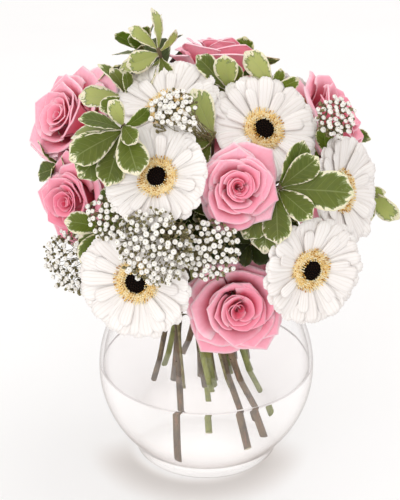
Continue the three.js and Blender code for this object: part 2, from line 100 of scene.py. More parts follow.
def stretched(tree, value, low, high, toLow=0.0, toHigh=1.0):
    inputs = {0: value, 1: low, 2: high, 3: toLow, 4: toHigh}
    return add(tree, "MapRange", inputs, interpolation_type="SMOOTHSTEP").outputs[0]


def objectPlace(tree):
    return add(tree, "TexCoord").outputs["Object"]


def axesOf(tree, place):
    return add(tree, "SeparateXYZ", {0: place}).outputs


def petalPlace(tree):  # across and along a petal or leaf, each 0 to 1, from its own UV map
    return axesOf(tree, add(tree, "UVMap", uv_map="UVMap").outputs[0])[:2]


def attribute(tree, name):
    return add(tree, "Attribute", attribute_name=name).outputs["Fac"]


def bump(tree, height, strength, distance):
    inputs = {"Height": height, "Strength": strength, "Distance": distance}
    return add(tree, "Bump", inputs).outputs[0]


def newMaterial(name):
    material = bpy.data.materials.new(name)
    material.use_nodes = True
    material.node_tree.nodes.clear()
    return material, material.node_tree


def finish(tree, baseColour, roughness, normal=None, **constants):
    inputs = {"Base Color": baseColour, "Roughness": roughness}
    if normal is not None:
        inputs["Normal"] = normal
    inputs.update({name.replace("_", " "): value for name, value in constants.items()})
    shader = add(tree, "BsdfPrincipled", inputs)
    add(tree, "OutputMaterial", {"Surface": shader.outputs[0]})


# Effects that the materials share are node groups that put out masks.

def effect(name, inputs, outputs):
    group = bpy.data.node_groups.new(name, "ShaderNodeTree")
    for label, start in inputs.items():
        socket = group.interface.new_socket(label, in_out="INPUT", socket_type="NodeSocketFloat")
        socket.default_value = start
    for label in outputs:
        group.interface.new_socket(label, in_out="OUTPUT", socket_type="NodeSocketFloat")
    entry = group.nodes.new("NodeGroupInput")
    leave = group.nodes.new("NodeGroupOutput")
    return group, entry.outputs, leave.inputs


def use(tree, group, **inputs):
    made = tree.nodes.new("ShaderNodeGroup")
    made.node_tree = group
    feed(tree, made.inputs, inputs)
    return made.outputs


def streakEffect():  # fine lengthwise streaks of a petal, different on each one
    group, given, put = effect("streaks", {"Across": 14, "Along": 1.2, "Tone": 0}, ["Streak"])
    across, along = petalPlace(group)
    spot = add(group, "CombineXYZ", {
        0: product(group, across, given["Across"]),
        1: product(group, along, given["Along"]),
        2: product(group, given["Tone"], 37.0),
    })
    noise = add(group, "TexNoise", {"Vector": spot.outputs[0], "Scale": 1.0, "Detail": 3.0})
    feed(group, put, {"Streak": stretched(group, noise.outputs[0], 0.3, 0.7)})
    return group


def mottleEffect():  # soft uneven patches over a piece
    group, given, put = effect("mottle", {"Scale": 60}, ["Patch"])
    inputs = {"Vector": objectPlace(group), "Scale": given["Scale"], "Detail": 3.0}
    noise = add(group, "TexNoise", inputs)
    feed(group, put, {"Patch": stretched(group, noise.outputs[0], 0.3, 0.7)})
    return group


def marginEffect():  # 0 on a blade's margin, rising inwards to 1 at its middle line
    group, given, put = effect("margin", {"Tip": 1.8}, ["Inside", "Side"])
    across, along = petalPlace(group)
    offCentre = maths(group, "ABSOLUTE", maths(group, "SUBTRACT", across, 0.5))
    side = product(group, offCentre, 2.0)
    inner = maths(group, "SUBTRACT", 1.0, side)
    tip = product(group, maths(group, "SUBTRACT", 1.0, along), given["Tip"])
    feed(group, put, {"Inside": maths(group, "SMOOTH_MIN", inner, tip, 0.2), "Side": side})
    return group


streaks = streakEffect()
mottle = mottleEffect()
margin = marginEffect()

# The sky and the materials, each below its own look.

skyLook = {"colour": (1, 0.985, 0.975), "strength": (0.80, 0.95)}  # strength low down and overhead


def studioSky():  # white, a little brighter overhead
    sky = bpy.data.worlds.new("studio")
    sky.use_nodes = True
    tree = sky.node_tree
    height = axesOf(tree, objectPlace(tree))[2]
    strength = stretched(tree, height, -0.2, 1.0, *skyLook["strength"])
    feed(tree, tree.nodes["Background"].inputs, {"Color": skyLook["colour"], "Strength": strength})
    bpy.context.scene.world = sky


studioSky()

rayLook = {
    "shade": (0.86, 0.81, 0.78), "light": (0.90, 0.86, 0.83),  # the darkest and the lightest ray
    # the groove colour is painted shade down each groove, over its share of the ray
    "grooveShade": (0.62, 0.52, 0.43), "grooveWaves": 25.0, "grooveShadeShare": 0.34,
    "root": (0.70, 0.64, 0.46), "rootReach": 0.30,
}


def rayMaterial():  # warm white, with grooves along it darkened by painted shade, and a beige shade towards its root
    material, tree = newMaterial("gerberaRay")
    tone = attribute(tree, "tone")
    across, along = petalPlace(tree)
    wave = maths(tree, "SINE", product(tree, across, rayLook["grooveWaves"]))
    grooveShade = stretched(tree, wave, 0.3, 1.0)
    fine = use(tree, streaks, Across=20.0, Along=1.1, Tone=tone)["Streak"]
    lines = product(tree, grooveShade, maths(tree, "ADD", 0.2, product(tree, fine, 0.8)))
    white = blend(tree, tone, rayLook["shade"], rayLook["light"])
    # painted shade in the grooves
    lined = blend(tree, product(tree, lines, rayLook["grooveShadeShare"]), white, rayLook["grooveShade"])
    root = stretched(tree, along, 0.02, rayLook["rootReach"], 0.5, 0.0)
    tinted = blend(tree, root, lined, rayLook["root"])
    height = maths(tree, "SUBTRACT", 1.0, lines)
    finish(tree, tinted, 0.6, bump(tree, height, 0.3, 0.0005), Subsurface_Weight=0.1,
           Subsurface_Radius=(1.0, 0.9, 0.8), Subsurface_Scale=0.002, Specular_IOR_Level=0.3)
    return material


goldLook = {
    "foot": (0.88, 0.72, 0.40),
    "brown": (0.46, 0.21, 0.02), "gold": (0.86, 0.60, 0.20), "cream": (0.93, 0.84, 0.60),  # the tips
}


def floretMaterial():  # pale at the foot, and brown, gold or cream at the tip
    material, tree = newMaterial("gerberaGold")
    tone = attribute(tree, "tone")
    rise = attribute(tree, "rise")
    darker = blend(tree, stretched(tree, tone, 0.16, 0.28), goldLook["brown"], goldLook["gold"])
    tip = blend(tree, stretched(tree, tone, 0.48, 0.62), darker, goldLook["cream"])
    tinted = blend(tree, stretched(tree, rise, 0.3, 0.7), goldLook["foot"], tip)
    grain = use(tree, mottle, Scale=900.0)["Patch"]
    finish(tree, tinted, 0.7, bump(tree, grain, 0.3, 0.0003))
    return material


eyeLook = {"dark": (0.004, 0.002, 0.0015), "tip": (0.040, 0.016, 0.008)}


def eyeMaterial():  # near-black brown, browner on the tips
    material, tree = newMaterial("gerberaEye")
    share = stretched(tree, attribute(tree, "rise"), 0.6, 1.0, 0.0, 0.8)
    tinted = blend(tree, share, eyeLook["dark"], eyeLook["tip"])
    grain = use(tree, mottle, Scale=1200.0)["Patch"]
    finish(tree, tinted, 0.9, bump(tree, grain, 0.5, 0.0003), Specular_IOR_Level=0.1)
    return material


roseLook = {
    "deep": (0.84, 0.14, 0.23),  # painted shade down in the folds towards each petal's base, and the veins' own colour
    "body": ((0.86, 0.15, 0.26), (0.98, 0.47, 0.57)),  # of the darkest and of the palest petal
    "rim": ((0.93, 0.36, 0.47), (0.99, 0.76, 0.81)),
    "rimReach": 0.34, "rimShare": 0.85, "veinShare": 0.12,
}


def roseMaterial():  # pink, with painted shade deeper down in the folds, and paler along the rims
    material, tree = newMaterial("rosePink")
    tone = attribute(tree, "tone")
    along = petalPlace(tree)[1]
    fine = use(tree, streaks, Across=26.0, Along=2.0, Tone=tone)["Streak"]
    inside = use(tree, margin, Tip=2.6)["Inside"]
    middle = blend(tree, tone, *roseLook["body"])
    # painted shade: deeper pink towards the petal's base, down in the folds
    body = blend(tree, stretched(tree, along, 0.25, 0.75), roseLook["deep"], middle)
    rim = stretched(tree, inside, 0.0, roseLook["rimReach"], roseLook["rimShare"], 0.0)
    rimmed = blend(tree, rim, body, blend(tree, tone, *roseLook["rim"]))
    veined = blend(tree, product(tree, fine, roseLook["veinShare"]), rimmed, roseLook["deep"])
    finish(tree, veined, 0.55, bump(tree, fine, 0.2, 0.0003), Sheen_Weight=0.08,
           Subsurface_Weight=0.2, Subsurface_Radius=(1.0, 0.5, 0.5), Subsurface_Scale=0.003)
    return material


leafLook = {
    "cream": (0.80, 0.75, 0.56), "sage": (0.20, 0.23, 0.09), "rib": (0.36, 0.39, 0.17),
    "green": ((0.028, 0.044, 0.004), (0.155, 0.180, 0.026)),
    "young": (0.40, 0.42, 0.15),  # towards tone 1: the leaf's own paler green, lifted with painted light for leaves lit from above
    "shaded": (0.010, 0.012, 0.003),  # towards tone -0.5: painted shade for leaves deep in the bouquet
    "veins": 8.0, "veinSlant": 0.22, "ribShare": 0.45,
    "margin": 0.02, "paleMargin": 0.15, "jag": 0.85,  # the margin's width, more on a paler leaf
}


def leafMaterial():  # dark green between pale veins, sage, then a jagged cream margin, and painted shade on leaves of a tone below 0
    material, tree = newMaterial("pittosporumLeaf")
    tone = attribute(tree, "tone")
    across, along = petalPlace(tree)
    edge = use(tree, margin, Tip=1.7)
    side = edge["Side"]
    slant = maths(tree, "SUBTRACT", along, product(tree, side, leafLook["veinSlant"]))
    shift = maths(tree, "ADD", product(tree, tone, 41.0), product(tree, across, 1.5))
    spot = {0: product(tree, slant, 13.0), 1: product(tree, side, 1.6), 2: shift}
    noisePlace = add(tree, "CombineXYZ", spot).outputs[0]
    noise = {"Vector": noisePlace, "Scale": 1.0, "Detail": 4.0, "Roughness": 0.65}
    ragged = add(tree, "TexNoise", noise).outputs[0]
    jag = product(tree, maths(tree, "SUBTRACT", ragged, 0.5), leafLook["jag"])
    wide = maths(tree, "ADD", leafLook["margin"], product(tree, tone, leafLook["paleMargin"]))
    reach = maths(tree, "SUBTRACT", maths(tree, "ADD", edge["Inside"], jag), wide)
    light = maths(tree, "ADD", product(tree, ragged, 0.7), product(tree, tone, 0.4))
    green = blend(tree, light, *leafLook["green"])
    # paler towards tone 1: partly the leaf's own colour, partly painted light
    middle = blend(tree, stretched(tree, tone, 0.6, 1.0), green, leafLook["young"])
    border = blend(tree, stretched(tree, reach, 0.0, 0.05), leafLook["cream"], leafLook["sage"])
    body = blend(tree, stretched(tree, reach, 0.06, 0.16), border, middle)
    veinWave = maths(tree, "PINGPONG", product(tree, slant, leafLook["veins"]), 0.5)
    veins = stretched(tree, veinWave, 0.0, 0.07, 0.35, 0.0)
    ribs = maths(tree, "MAXIMUM", veins, stretched(tree, side, 0.0, 0.07, 0.75, 0.0))
    veined = blend(tree, product(tree, ribs, leafLook["ribShare"]), body, leafLook["rib"])
    height = maths(tree, "SUBTRACT", product(tree, ragged, 0.4), ribs)
    # painted shade: leaves of a tone below 0 darken towards near black
    shaded = blend(tree, stretched(tree, tone, -0.5, 0.0), leafLook["shaded"], veined)
    roughness = stretched(tree, ragged, 0.3, 0.7, 0.40, 0.55)
    finish(tree, shaded, roughness, bump(tree, height, 0.45, 0.0006), Specular_IOR_Level=0.22,
           Subsurface_Weight=0.25, Subsurface_Radius=(0.6, 0.9, 0.2), Subsurface_Scale=0.003)
    return material


stemLooks = {  # two colours in patches, the specks' colour, roughness
    "gerberaStem": ((0.14, 0.155, 0.03), (0.23, 0.245, 0.05), (0.30, 0.31, 0.12), 0.55),
    "roseStem": ((0.065, 0.040, 0.020), (0.15, 0.095, 0.045), (0.24, 0.11, 0.06), 0.55),
    "twigBark": ((0.065, 0.042, 0.022), (0.15, 0.105, 0.052), (0.30, 0.22, 0.14), 0.75),
}


def stemMaterial(name, low, high, specks, roughness):  # patchy, with fibres and specks along it
    material, tree = newMaterial(name)
    fibrePlace = add(tree, "Mapping", {"Vector": objectPlace(tree), "Scale": (420.0, 420.0, 45.0)})
    noise = {"Vector": fibrePlace.outputs[0], "Scale": 1.0, "Detail": 4.0}
    fibre = add(tree, "TexNoise", noise).outputs[0]
    body = blend(tree, use(tree, mottle, Scale=85.0)["Patch"], low, high)
    tinted = blend(tree, product(tree, stretched(tree, fibre, 0.56, 0.7), 0.7), body, specks)
    finish(tree, tinted, roughness, bump(tree, fibre, 0.5, 0.0008))
    return material


plainLooks = {  # two colours in patches, how fine the patches are, roughness
    "cutStem": ((0.55, 0.52, 0.34), (0.68, 0.63, 0.45), 700, 0.8),
    "gypsophilaThread": ((0.13, 0.11, 0.04), (0.26, 0.22, 0.10), 300, 0.7),
    "gypsophilaFloret": ((0.78, 0.75, 0.70), (0.90, 0.88, 0.84), 500, 0.6),
    "gypsophilaEye": ((0.46, 0.42, 0.28), (0.60, 0.55, 0.40), 900, 0.8),
    "gypsophilaBud": ((0.10, 0.085, 0.03), (0.26, 0.22, 0.10), 500, 0.7),
}


def plainMaterial(name, low, high, scale, roughness):
    material, tree = newMaterial(name)
    patch = use(tree, mottle, Scale=scale)["Patch"]
    finish(tree, blend(tree, patch, low, high), roughness, bump(tree, patch, 0.3, 0.0003))
    return material


clearLooks = {  # a band is a painted dark line at a height: where it starts, where it is full, and its share of the line's painted shade
    "bowlGlass": {
        "tint": (0.99, 0.985, 0.985), "slantShade": (0.50, 0.43, 0.41), "lineShade": (0.14, 0.11, 0.10),
        "bands": [(0.0035, 0.0005, 0.3)],
        "edgeShade": (0.22, 0.16, 0.13), "ior": 1.25, "paintedGlow": 0,
    },
    "bowlWater": {
        "tint": (0.965, 0.96, 0.955), "slantShade": (0.89, 0.86, 0.86), "lineShade": (0.48, 0.41, 0.42),
        "bands": [(0.0886, 0.0890, 0.32), (0.0891, 0.0896, 0.7)],
        # the water's glow is painted light
        "edgeShade": (1, 1, 1), "ior": 1.2, "paintedGlow": 0.085,
    },
}


def clearMaterial(name, look):  # clear, with painted shade in dark lines where it is seen at a slant and in bands at given heights
    material, tree = newMaterial(name)
    waver = use(tree, mottle, Scale=14.0)["Patch"]
    slanted = add(tree, "LayerWeight", {"Blend": 0.5}).outputs["Facing"]
    height = axesOf(tree, objectPlace(tree))[2]
    # painted shade: dark lines at a slant and in the bands
    line = stretched(tree, slanted, 0.74, 0.94)
    for low, high, share in look["bands"]:
        line = maths(tree, "MAXIMUM", line, stretched(tree, height, low, high, 0.0, share))
    # painted shade, darker towards the slant
    soft = blend(tree, stretched(tree, slanted, 0.55, 0.95), look["tint"], look["slantShade"])
    shader = add(tree, "BsdfPrincipled", {
        "Base Color": blend(tree, line, soft, look["lineShade"]),
        "Roughness": 0.0,
        "IOR": look["ior"],
        "Transmission Weight": 1.0,
        "Normal": bump(tree, waver, 0.05, 0.002),
        # painted glow: the water gives off a little light of its own
        "Emission Color": (1, 0.98, 0.97),
        "Emission Strength": look["paintedGlow"],
    })
    shade = blend(tree, stretched(tree, slanted, 0.50, 0.95), (1, 1, 1), look["edgeShade"])
    clear = add(tree, "BsdfTransparent", {0: shade})
    rays = add(tree, "LightPath").outputs  # shadow rays and rays caught inside go straight through
    caught = maths(tree, "GREATER_THAN", rays["Ray Depth"], 4.5)
    straight = maths(tree, "MAXIMUM", rays["Is Shadow Ray"], caught)
    mixed = add(tree, "MixShader", {0: straight, 1: shader.outputs[0], 2: clear.outputs[0]})
    add(tree, "OutputMaterial", {"Surface": mixed.outputs[0]})
    return material


floorLook = {
    "size": 16,
    "pale": ((0.47, 0.485, 0.495), (0.485, 0.50, 0.51)),
    "glow": 0.465, "gathered": 0.62,  # in the open, and a painted pool of light under the bowl, where the water gathers light
    # the shade is a painted shadow round the bowl's foot, warmer in colour
    "shade": 0.24, "shadeColour": (1, 0.80, 0.68), "openColour": (1, 0.95, 0.92),
    "shadeRing": (0.058, 0.072, 0.070, 0.112),  # the radii where the painted shadow comes in and fades out
    "shadeFront": (-0.050, 0.005),  # it is full before the first y and gone behind the second
}


def floorMaterial():  # pale and glowing, with a painted shadow where the bowl shades it and a painted pool of light under the bowl
    material, tree = newMaterial("paleFloor")
    tinted = blend(tree, use(tree, mottle, Scale=3.0)["Patch"], *floorLook["pale"])
    place = axesOf(tree, objectPlace(tree))
    sideways = maths(tree, "POWER", maths(tree, "ADD", place[0], 0.007), 2.0)
    forward = maths(tree, "POWER", maths(tree, "ADD", place[1], 0.006), 2.0)
    away = maths(tree, "SQRT", maths(tree, "ADD", sideways, forward))
    first, full, fading, last = floorLook["shadeRing"]
    # painted shadow: a ring round the bowl's foot, towards the front
    ring = product(tree, stretched(tree, away, first, full), stretched(tree, away, fading, last, 1.0, 0.0))
    shaded = product(tree, ring, stretched(tree, place[1], *floorLook["shadeFront"], 1.0, 0.0))
    # painted pool of light under the bowl
    gathered = stretched(tree, away, 0.030, 0.068, floorLook["gathered"], floorLook["glow"])
    glow = maths(tree, "SUBTRACT", gathered, product(tree, shaded, floorLook["shade"]))
    shadowTint = blend(tree, shaded, floorLook["openColour"], floorLook["shadeColour"])
    finish(tree, tinted, 0.7, Emission_Color=shadowTint, Emission_Strength=glow)
    return material


finishes = {"ray": rayMaterial(), "gold": floretMaterial(), "eye": eyeMaterial(), "rose": roseMaterial(),
            "leaf": leafMaterial()}
for finishName, look in stemLooks.items():
    finishes[finishName] = stemMaterial(finishName, *look)
for finishName, look in plainLooks.items():
    finishes[finishName] = plainMaterial(finishName, *look)
for finishName, look in clearLooks.items():
    finishes[finishName] = clearMaterial(finishName, look)
print("materials made")

bpy.ops.mesh.primitive_plane_add(size=floorLook["size"])
floor = bpy.context.object
floor.name = "floor"
floor.data.materials.append(floorMaterial())


def deselect():
    bpy.ops.object.select_all(action="DESELECT")


@contextlib.contextmanager
def editing(piece):
    deselect()
    piece.select_set(True)
    bpy.context.view_layer.objects.active = piece
    bpy.ops.object.mode_set(mode="EDIT")
    bpy.ops.mesh.select_all(action="DESELECT")
    yield
    bpy.ops.object.mode_set(mode="OBJECT")


def pick(piece, numbers):  # selects these points of the piece that is being edited
    mesh = bmesh.from_edit_mesh(piece.data)
    mesh.verts.ensure_lookup_table()
    bpy.ops.mesh.select_all(action="DESELECT")
    for number in numbers:
        mesh.verts[number].select = True
    mesh.select_flush(True)
    bmesh.update_edit_mesh(piece.data)


def linesOf(piece, axis):  # point numbers of a fresh grid, line by line along an axis
    lines = {}
    for point in piece.data.vertices:
        lines.setdefault(round(point.co[axis], 4), []).append(point.index)
    return [lines[key] for key in sorted(lines)]


def between(stops, share):  # a value between stops, each (share, value)
    for (low, first), (high, second) in zip(stops, stops[1:]):
        if share <= high:
            return first + (second - first) * (share - low) / (high - low)
    return stops[-1][1]


def freshGrid(name, columns, rows):  # 1 m square, from y 0 to 1
    deselect()
    bpy.ops.mesh.primitive_grid_add(x_subdivisions=columns, y_subdivisions=rows, size=1, location=(0, 0.5, 0))
    piece = bpy.context.object
    piece.name = name
    bpy.ops.object.transform_apply(location=True)
    return piece


def finishSheet(piece, thickness, material, twist=0):  # gives a blade its thickness and finish
    if twist:
        turn = piece.modifiers.new("twist", "SIMPLE_DEFORM")
        turn.deform_method = "TWIST"
        turn.deform_axis = "Y"
        turn.angle = math.radians(twist)
        bpy.ops.object.modifier_apply(modifier=turn.name)
    wall = piece.modifiers.new("wall", "SOLIDIFY")
    wall.thickness = thickness
    wall.offset = 0
    bpy.ops.object.modifier_apply(modifier=wall.name)
    bpy.ops.object.shade_smooth()
    piece.data.materials.append(material)
    piece.data.attributes.new("tone", "FLOAT", "POINT")
    return piece


def bladeShape(name, shape, material):  # a petal or leaf along +Y with its face to +Z
    columns, rows = len(shape["folds"]) - 1, shape["rows"]
    piece = freshGrid(name, columns, rows)
    across, upward = linesOf(piece, 0), linesOf(piece, 1)
    with editing(piece):
        for line, fold in zip(across, shape["folds"]):
            pick(piece, line)
            bpy.ops.transform.translate(value=(0, 0, fold))
        for r in reversed(range(rows + 1)):
            share = r / rows
            width = between(shape["outline"], share)
            rise = between(shape["arch"], share) * shape["length"]
            pick(piece, upward[r])
            bpy.ops.transform.resize(value=(width * shape["width"], 1, width), center_override=(0, share, 0))
            bpy.ops.transform.translate(value=(0, share * shape["length"] - share, rise))
        for column, notch in zip(across, shape.get("tip", [])):
            pick(piece, [max(column, key=lambda n: upward[-1].count(n))])
            bpy.ops.transform.translate(value=(0, notch * shape["length"], 0))
        for r in range(1, rows):
            wave = shape.get("wave", 0) * math.sin(2.4 * r + shape.get("start", 0))
            pick(piece, [upward[r][0]])
            bpy.ops.transform.translate(value=(0, 0, wave))
            pick(piece, [upward[r][-1]])
            bpy.ops.transform.translate(value=(0, 0, -wave * 0.8))
    return finishSheet(piece, shape["thick"], material, shape.get("twist", 0))


def cupPetal(name, shape, material):  # a petal that wraps round +Z, for a head of radius and height 1
    columns, rows = shape["columns"], len(shape["profile"]) - 1
    piece = freshGrid(name, columns, rows)
    across, upward = linesOf(piece, 0), linesOf(piece, 1)
    with editing(piece):
        for r, (out, up) in enumerate(shape["profile"]):
            pick(piece, upward[r])
            bpy.ops.transform.resize(value=(0, 1, 1), center_override=(0, 0, 0))
            bpy.ops.transform.translate(value=(0, -out - r / rows, up))
        for c, line in enumerate(across):
            side = 2 * c / columns - 1
            pick(piece, line)
            ripple = shape["ripple"] * math.sin(5.1 * side + shape["start"])
            low = 1 - shape["drop"] * abs(side) ** 2.4 + ripple
            flare = 1 + shape["lap"] * side + shape["flare"] * side**4
            bpy.ops.transform.resize(value=(flare, flare, low), center_override=(0, 0, 0))
            turn = math.radians(shape["wrap"] / 2 * side)
            bpy.ops.transform.rotate(value=-turn, orient_axis="Z", center_override=(0, 0, 0))
        if shape["point"]:
            pick(piece, [upward[-1][columns // 2], upward[-2][columns // 2]])
            bpy.ops.transform.translate(
                value=(0, -shape["point"], shape["point"] * 0.2),
                use_proportional_edit=True,
                proportional_edit_falloff="SHARP",
                proportional_size=0.45,
            )
    return finishSheet(piece, shape["thick"], material)


def lathe(name, profile, steps, material):  # a line drawn point by point and spun round +Z
    deselect()
    bpy.ops.mesh.primitive_plane_add(size=0.001)
    piece = bpy.context.object
    piece.name = name
    with editing(piece):
        bpy.ops.mesh.select_all(action="SELECT")
        bpy.ops.mesh.merge(type="CENTER")
        bpy.ops.transform.translate(value=(profile[0][0], 0, profile[0][1]))
        for (r, z), (nextR, nextZ) in zip(profile, profile[1:]):
            bpy.ops.mesh.extrude_region_move(TRANSFORM_OT_translate={"value": (nextR - r, 0, nextZ - z)})
        bpy.ops.mesh.select_all(action="SELECT")
        bpy.ops.mesh.spin(steps=steps, angle=math.tau, center=(0, 0, 0), axis=(0, 0, 1))
        bpy.ops.mesh.select_all(action="SELECT")
        bpy.ops.mesh.remove_doubles(threshold=1e-5)
        bpy.ops.mesh.normals_make_consistent(inside=False)
    bpy.ops.object.shade_smooth()
    piece.data.materials.append(material)
    return piece


def cone(name, sides, low, high, depth, material):  # on +Z with its foot at the origin
    deselect()
    bpy.ops.mesh.primitive_cone_add(
        vertices=sides,
        radius1=low,
        radius2=high,
        depth=depth,
        location=(0, 0, depth / 2),
        end_fill_type="TRIFAN",
    )
    piece = bpy.context.object
    piece.name = name
    bpy.ops.object.transform_apply(location=True)
    piece.data.materials.append(material)
    piece.data.attributes.new("tone", "FLOAT", "POINT")
    rise = piece.data.attributes.new("rise", "FLOAT", "POINT")
    rise.data.foreach_set("value", [point.co.z / depth for point in piece.data.vertices])
    return piece


def rods(name, lines, sides, material):  # tubes along lines of (point, radius), sides is even
    deselect()
    bpy.ops.curve.primitive_nurbs_path_add()
    piece = bpy.context.object
    curve = piece.data
    curve.splines.clear()
    for line in lines:
        spline = curve.splines.new("POLY")
        spline.points.add(len(line) - 1)
        for spot, (place, radius) in zip(spline.points, line):
            spot.co = (*place, 1)
            spot.radius = radius
    curve.bevel_depth = 1
    curve.bevel_resolution = sides // 2 - 2
    curve.use_fill_caps = True
    bpy.ops.object.convert(target="MESH")
    piece = bpy.context.object
    piece.name = name
    with editing(piece):
        bpy.ops.mesh.select_all(action="SELECT")
        bpy.ops.mesh.remove_doubles(threshold=1e-6)
        bpy.ops.mesh.normals_make_consistent(inside=False)
    bpy.ops.object.shade_smooth_by_angle(angle=math.radians(50))
    piece.data.materials.clear()
    piece.data.materials.append(material)
    return piece


def placed(source, place, tone=0.5):  # a copy with its own mesh, moved in its mesh
    copy = source.copy()
    copy.data = source.data.copy()
    bpy.context.scene.collection.objects.link(copy)
    copy.data.transform(place)
    if "tone" in copy.data.attributes:
        values = copy.data.attributes["tone"].data
        values.foreach_set("value", [tone] * len(values))
    return copy


def joined(name, parts):
    deselect()
    for part in parts:
        part.select_set(True)
    bpy.context.view_layer.objects.active = parts[0]
    if len(parts) > 1:
        bpy.ops.object.join()
    whole = bpy.context.view_layer.objects.active
    whole.name = name
    whole.data.name = name
    return whole


def settle(piece, slot, *nodes):  # rides on the one body and stands for its CAD nodes
    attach(piece, "root")
    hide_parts(*nodes)



def facing(face):  # the direction of a face that is given in degrees
    azimuth, elevation = (math.radians(angle) for angle in face)
    level = math.cos(elevation)
    return Vector((math.sin(azimuth) * level, -math.cos(azimuth) * level, math.sin(elevation)))


def frameAt(origin, direction, turn=0):  # Z along a direction, Y leaning up, turned about Z
    z = direction.normalized()
    lean = Vector((0, 1, 0)) if abs(z.z) > 0.98 else Vector((0, 0, 1))
    x = lean.cross(z).normalized()
    basis = Matrix((x, z.cross(x), z)).transposed().to_4x4()
    return Matrix.Translation(origin) @ basis @ spun(turn)


def spun(degrees, axis="Z"):
    return Matrix.Rotation(math.radians(degrees), 4, axis)


def moved(x, y, z):
    return Matrix.Translation((x, y, z))


def scaled(share):
    return Matrix.Scale(share, 4)


def sized(x, y, z):
    return Matrix.Diagonal((x, y, z, 1))


def scatter(index, seed=0):  # an even spread from 0 to 1, the same on every run
    wave = math.sin(index * 12.9898 + seed * 78.233) * 43758.5453
    return wave - math.floor(wave)


def varied(low, play, index, seed):  # from low to low + play
    return low + play * scatter(index, seed)


def swayed(middle, play, index, seed):  # up to half of play on either side of the middle
    return middle + play * (scatter(index, seed) - 0.5)


def ringPoint(out, degrees, height=0):
    angle = math.radians(degrees)
    return Vector((out * math.cos(angle), out * math.sin(angle), height))


def tapered(line, foot, tip):  # (point, radius) along a line, for rods
    return [(spot, foot + (tip - foot) * k / len(line)) for k, spot in enumerate(line)]


def curved(start, first, second, end, steps):  # points along a Bezier curve
    points = []
    for i in range(steps + 1):
        t = i / steps
        ends = start * (1 - t) ** 3 + end * t**3
        points.append(ends + first * 3 * t * (1 - t) ** 2 + second * 3 * t**2 * (1 - t))
    return points


goldenAngle = 137.5  # between neighbours where things grow in a spiral, in degrees


# What stands in the bowl is placed as in the CAD source.

gerberas = [  # middle of the face, facing, radius, turn, height of the foot
    ((-0.037, -0.120, 0.318), (-18, 36), 0.042, 0, 0.072),
    ((0.044, -0.066, 0.337), (24, 38), 0.045, 7, 0.070),
    ((-0.031, -0.061, 0.352), (-20, 52), 0.044, 3, 0.030),
    ((-0.054, -0.130, 0.235), (-16, 6), 0.047, 12, 0.074),
    ((0.081, -0.116, 0.239), (27, 8), 0.045, 5, 0.046),
    ((0.108, -0.066, 0.285), (54, 16), 0.046, 9, 0.064),
    ((0.084, 0.096, 0.290), (136, 22), 0.047, 2, 0.070),
    ((-0.092, 0.080, 0.290), (-132, 16), 0.046, 11, 0.066),
]
roses = [  # middle of the face, facing, radius, turn, height of the foot
    ((-0.126, 0.006, 0.325), (-50, 30), 0.040, 20, 0.062),
    ((-0.116, -0.058, 0.271), (-36, 12), 0.032, 75, 0.017),
    ((0.024, -0.131, 0.315), (8, 22), 0.029, 140, 0.020),
    ((0.026, -0.122, 0.206), (6, 10), 0.040, 200, 0.036),
    ((0.008, 0.014, 0.384), (170, 72), 0.038, 260, 0.074),
    ((0.116, 0.006, 0.328), (78, 34), 0.038, 310, 0.068),
    ((0, 0.118, 0.282), (178, 12), 0.038, 40, 0.058),
    ((0.112, 0.066, 0.240), (122, -2), 0.036, 100, 0.076),
]
# A branch is its foot's height and its tips, the first in line with its stem. A leafy tip has its
# place, facing, the way its stem climbs, number of leaves in the CAD source, turn and size.
pittosporum = [
    (0.060, [((-0.040, -0.028, 0.395), (-60, 74), (-60, 74), 4, 60, 0.9),
             ((-0.066, -0.046, 0.362), (-50, 62), (-50, 62), 4, 200, 0.9),
             ((-0.056, 0.044, 0.372), (-130, 50), (-130, 50), 4, 0, 1)]),
    (0.074, [((0.054, -0.040, 0.367), (30, 60), (30, 60), 4, 120, 0.8),
             ((0.018, -0.048, 0.366), (5, 60), (5, 60), 4, 40, 0.75),
             ((0.030, 0.066, 0.346), (165, 50), (165, 50), 4, 100, 1)]),
    (0.040, [((0.057, -0.117, 0.309), (22, 20), (22, 20), 7, 0, 1),
             ((0.098, -0.056, 0.314), (45, 30), (45, 30), 4, 90, 0.8),
             ((0.036, -0.108, 0.256), (14, 0), (14, 0), 4, 30, 1)]),
    (0.066, [((-0.064, -0.105, 0.356), (-30, 36), (30, 60), 7, 10, 1),
             ((-0.080, -0.106, 0.268), (-36, 0), (-36, 0), 4, 15, 1),
             ((0.006, -0.092, 0.342), (4, 60), (40, 60), 2, 90, 0.8)]),
    (0.062, [((0.142, 0, 0.262), (86, 6), (86, 6), 4, 15, 1),
             ((0.116, 0.064, 0.292), (120, 20), (120, 20), 4, 70, 1),
             ((0.060, 0.112, 0.262), (150, 4), (150, 4), 4, 160, 1)]),
    (0.056, [((-0.116, 0.046, 0.250), (-112, -4), (-112, -4), 5, 140, 1),
             ((-0.128, -0.002, 0.282), (-80, 8), (-80, 8), 2, 80, 1),
             ((-0.050, 0.116, 0.250), (-156, 0), (-156, 0), 4, 200, 1)]),
]
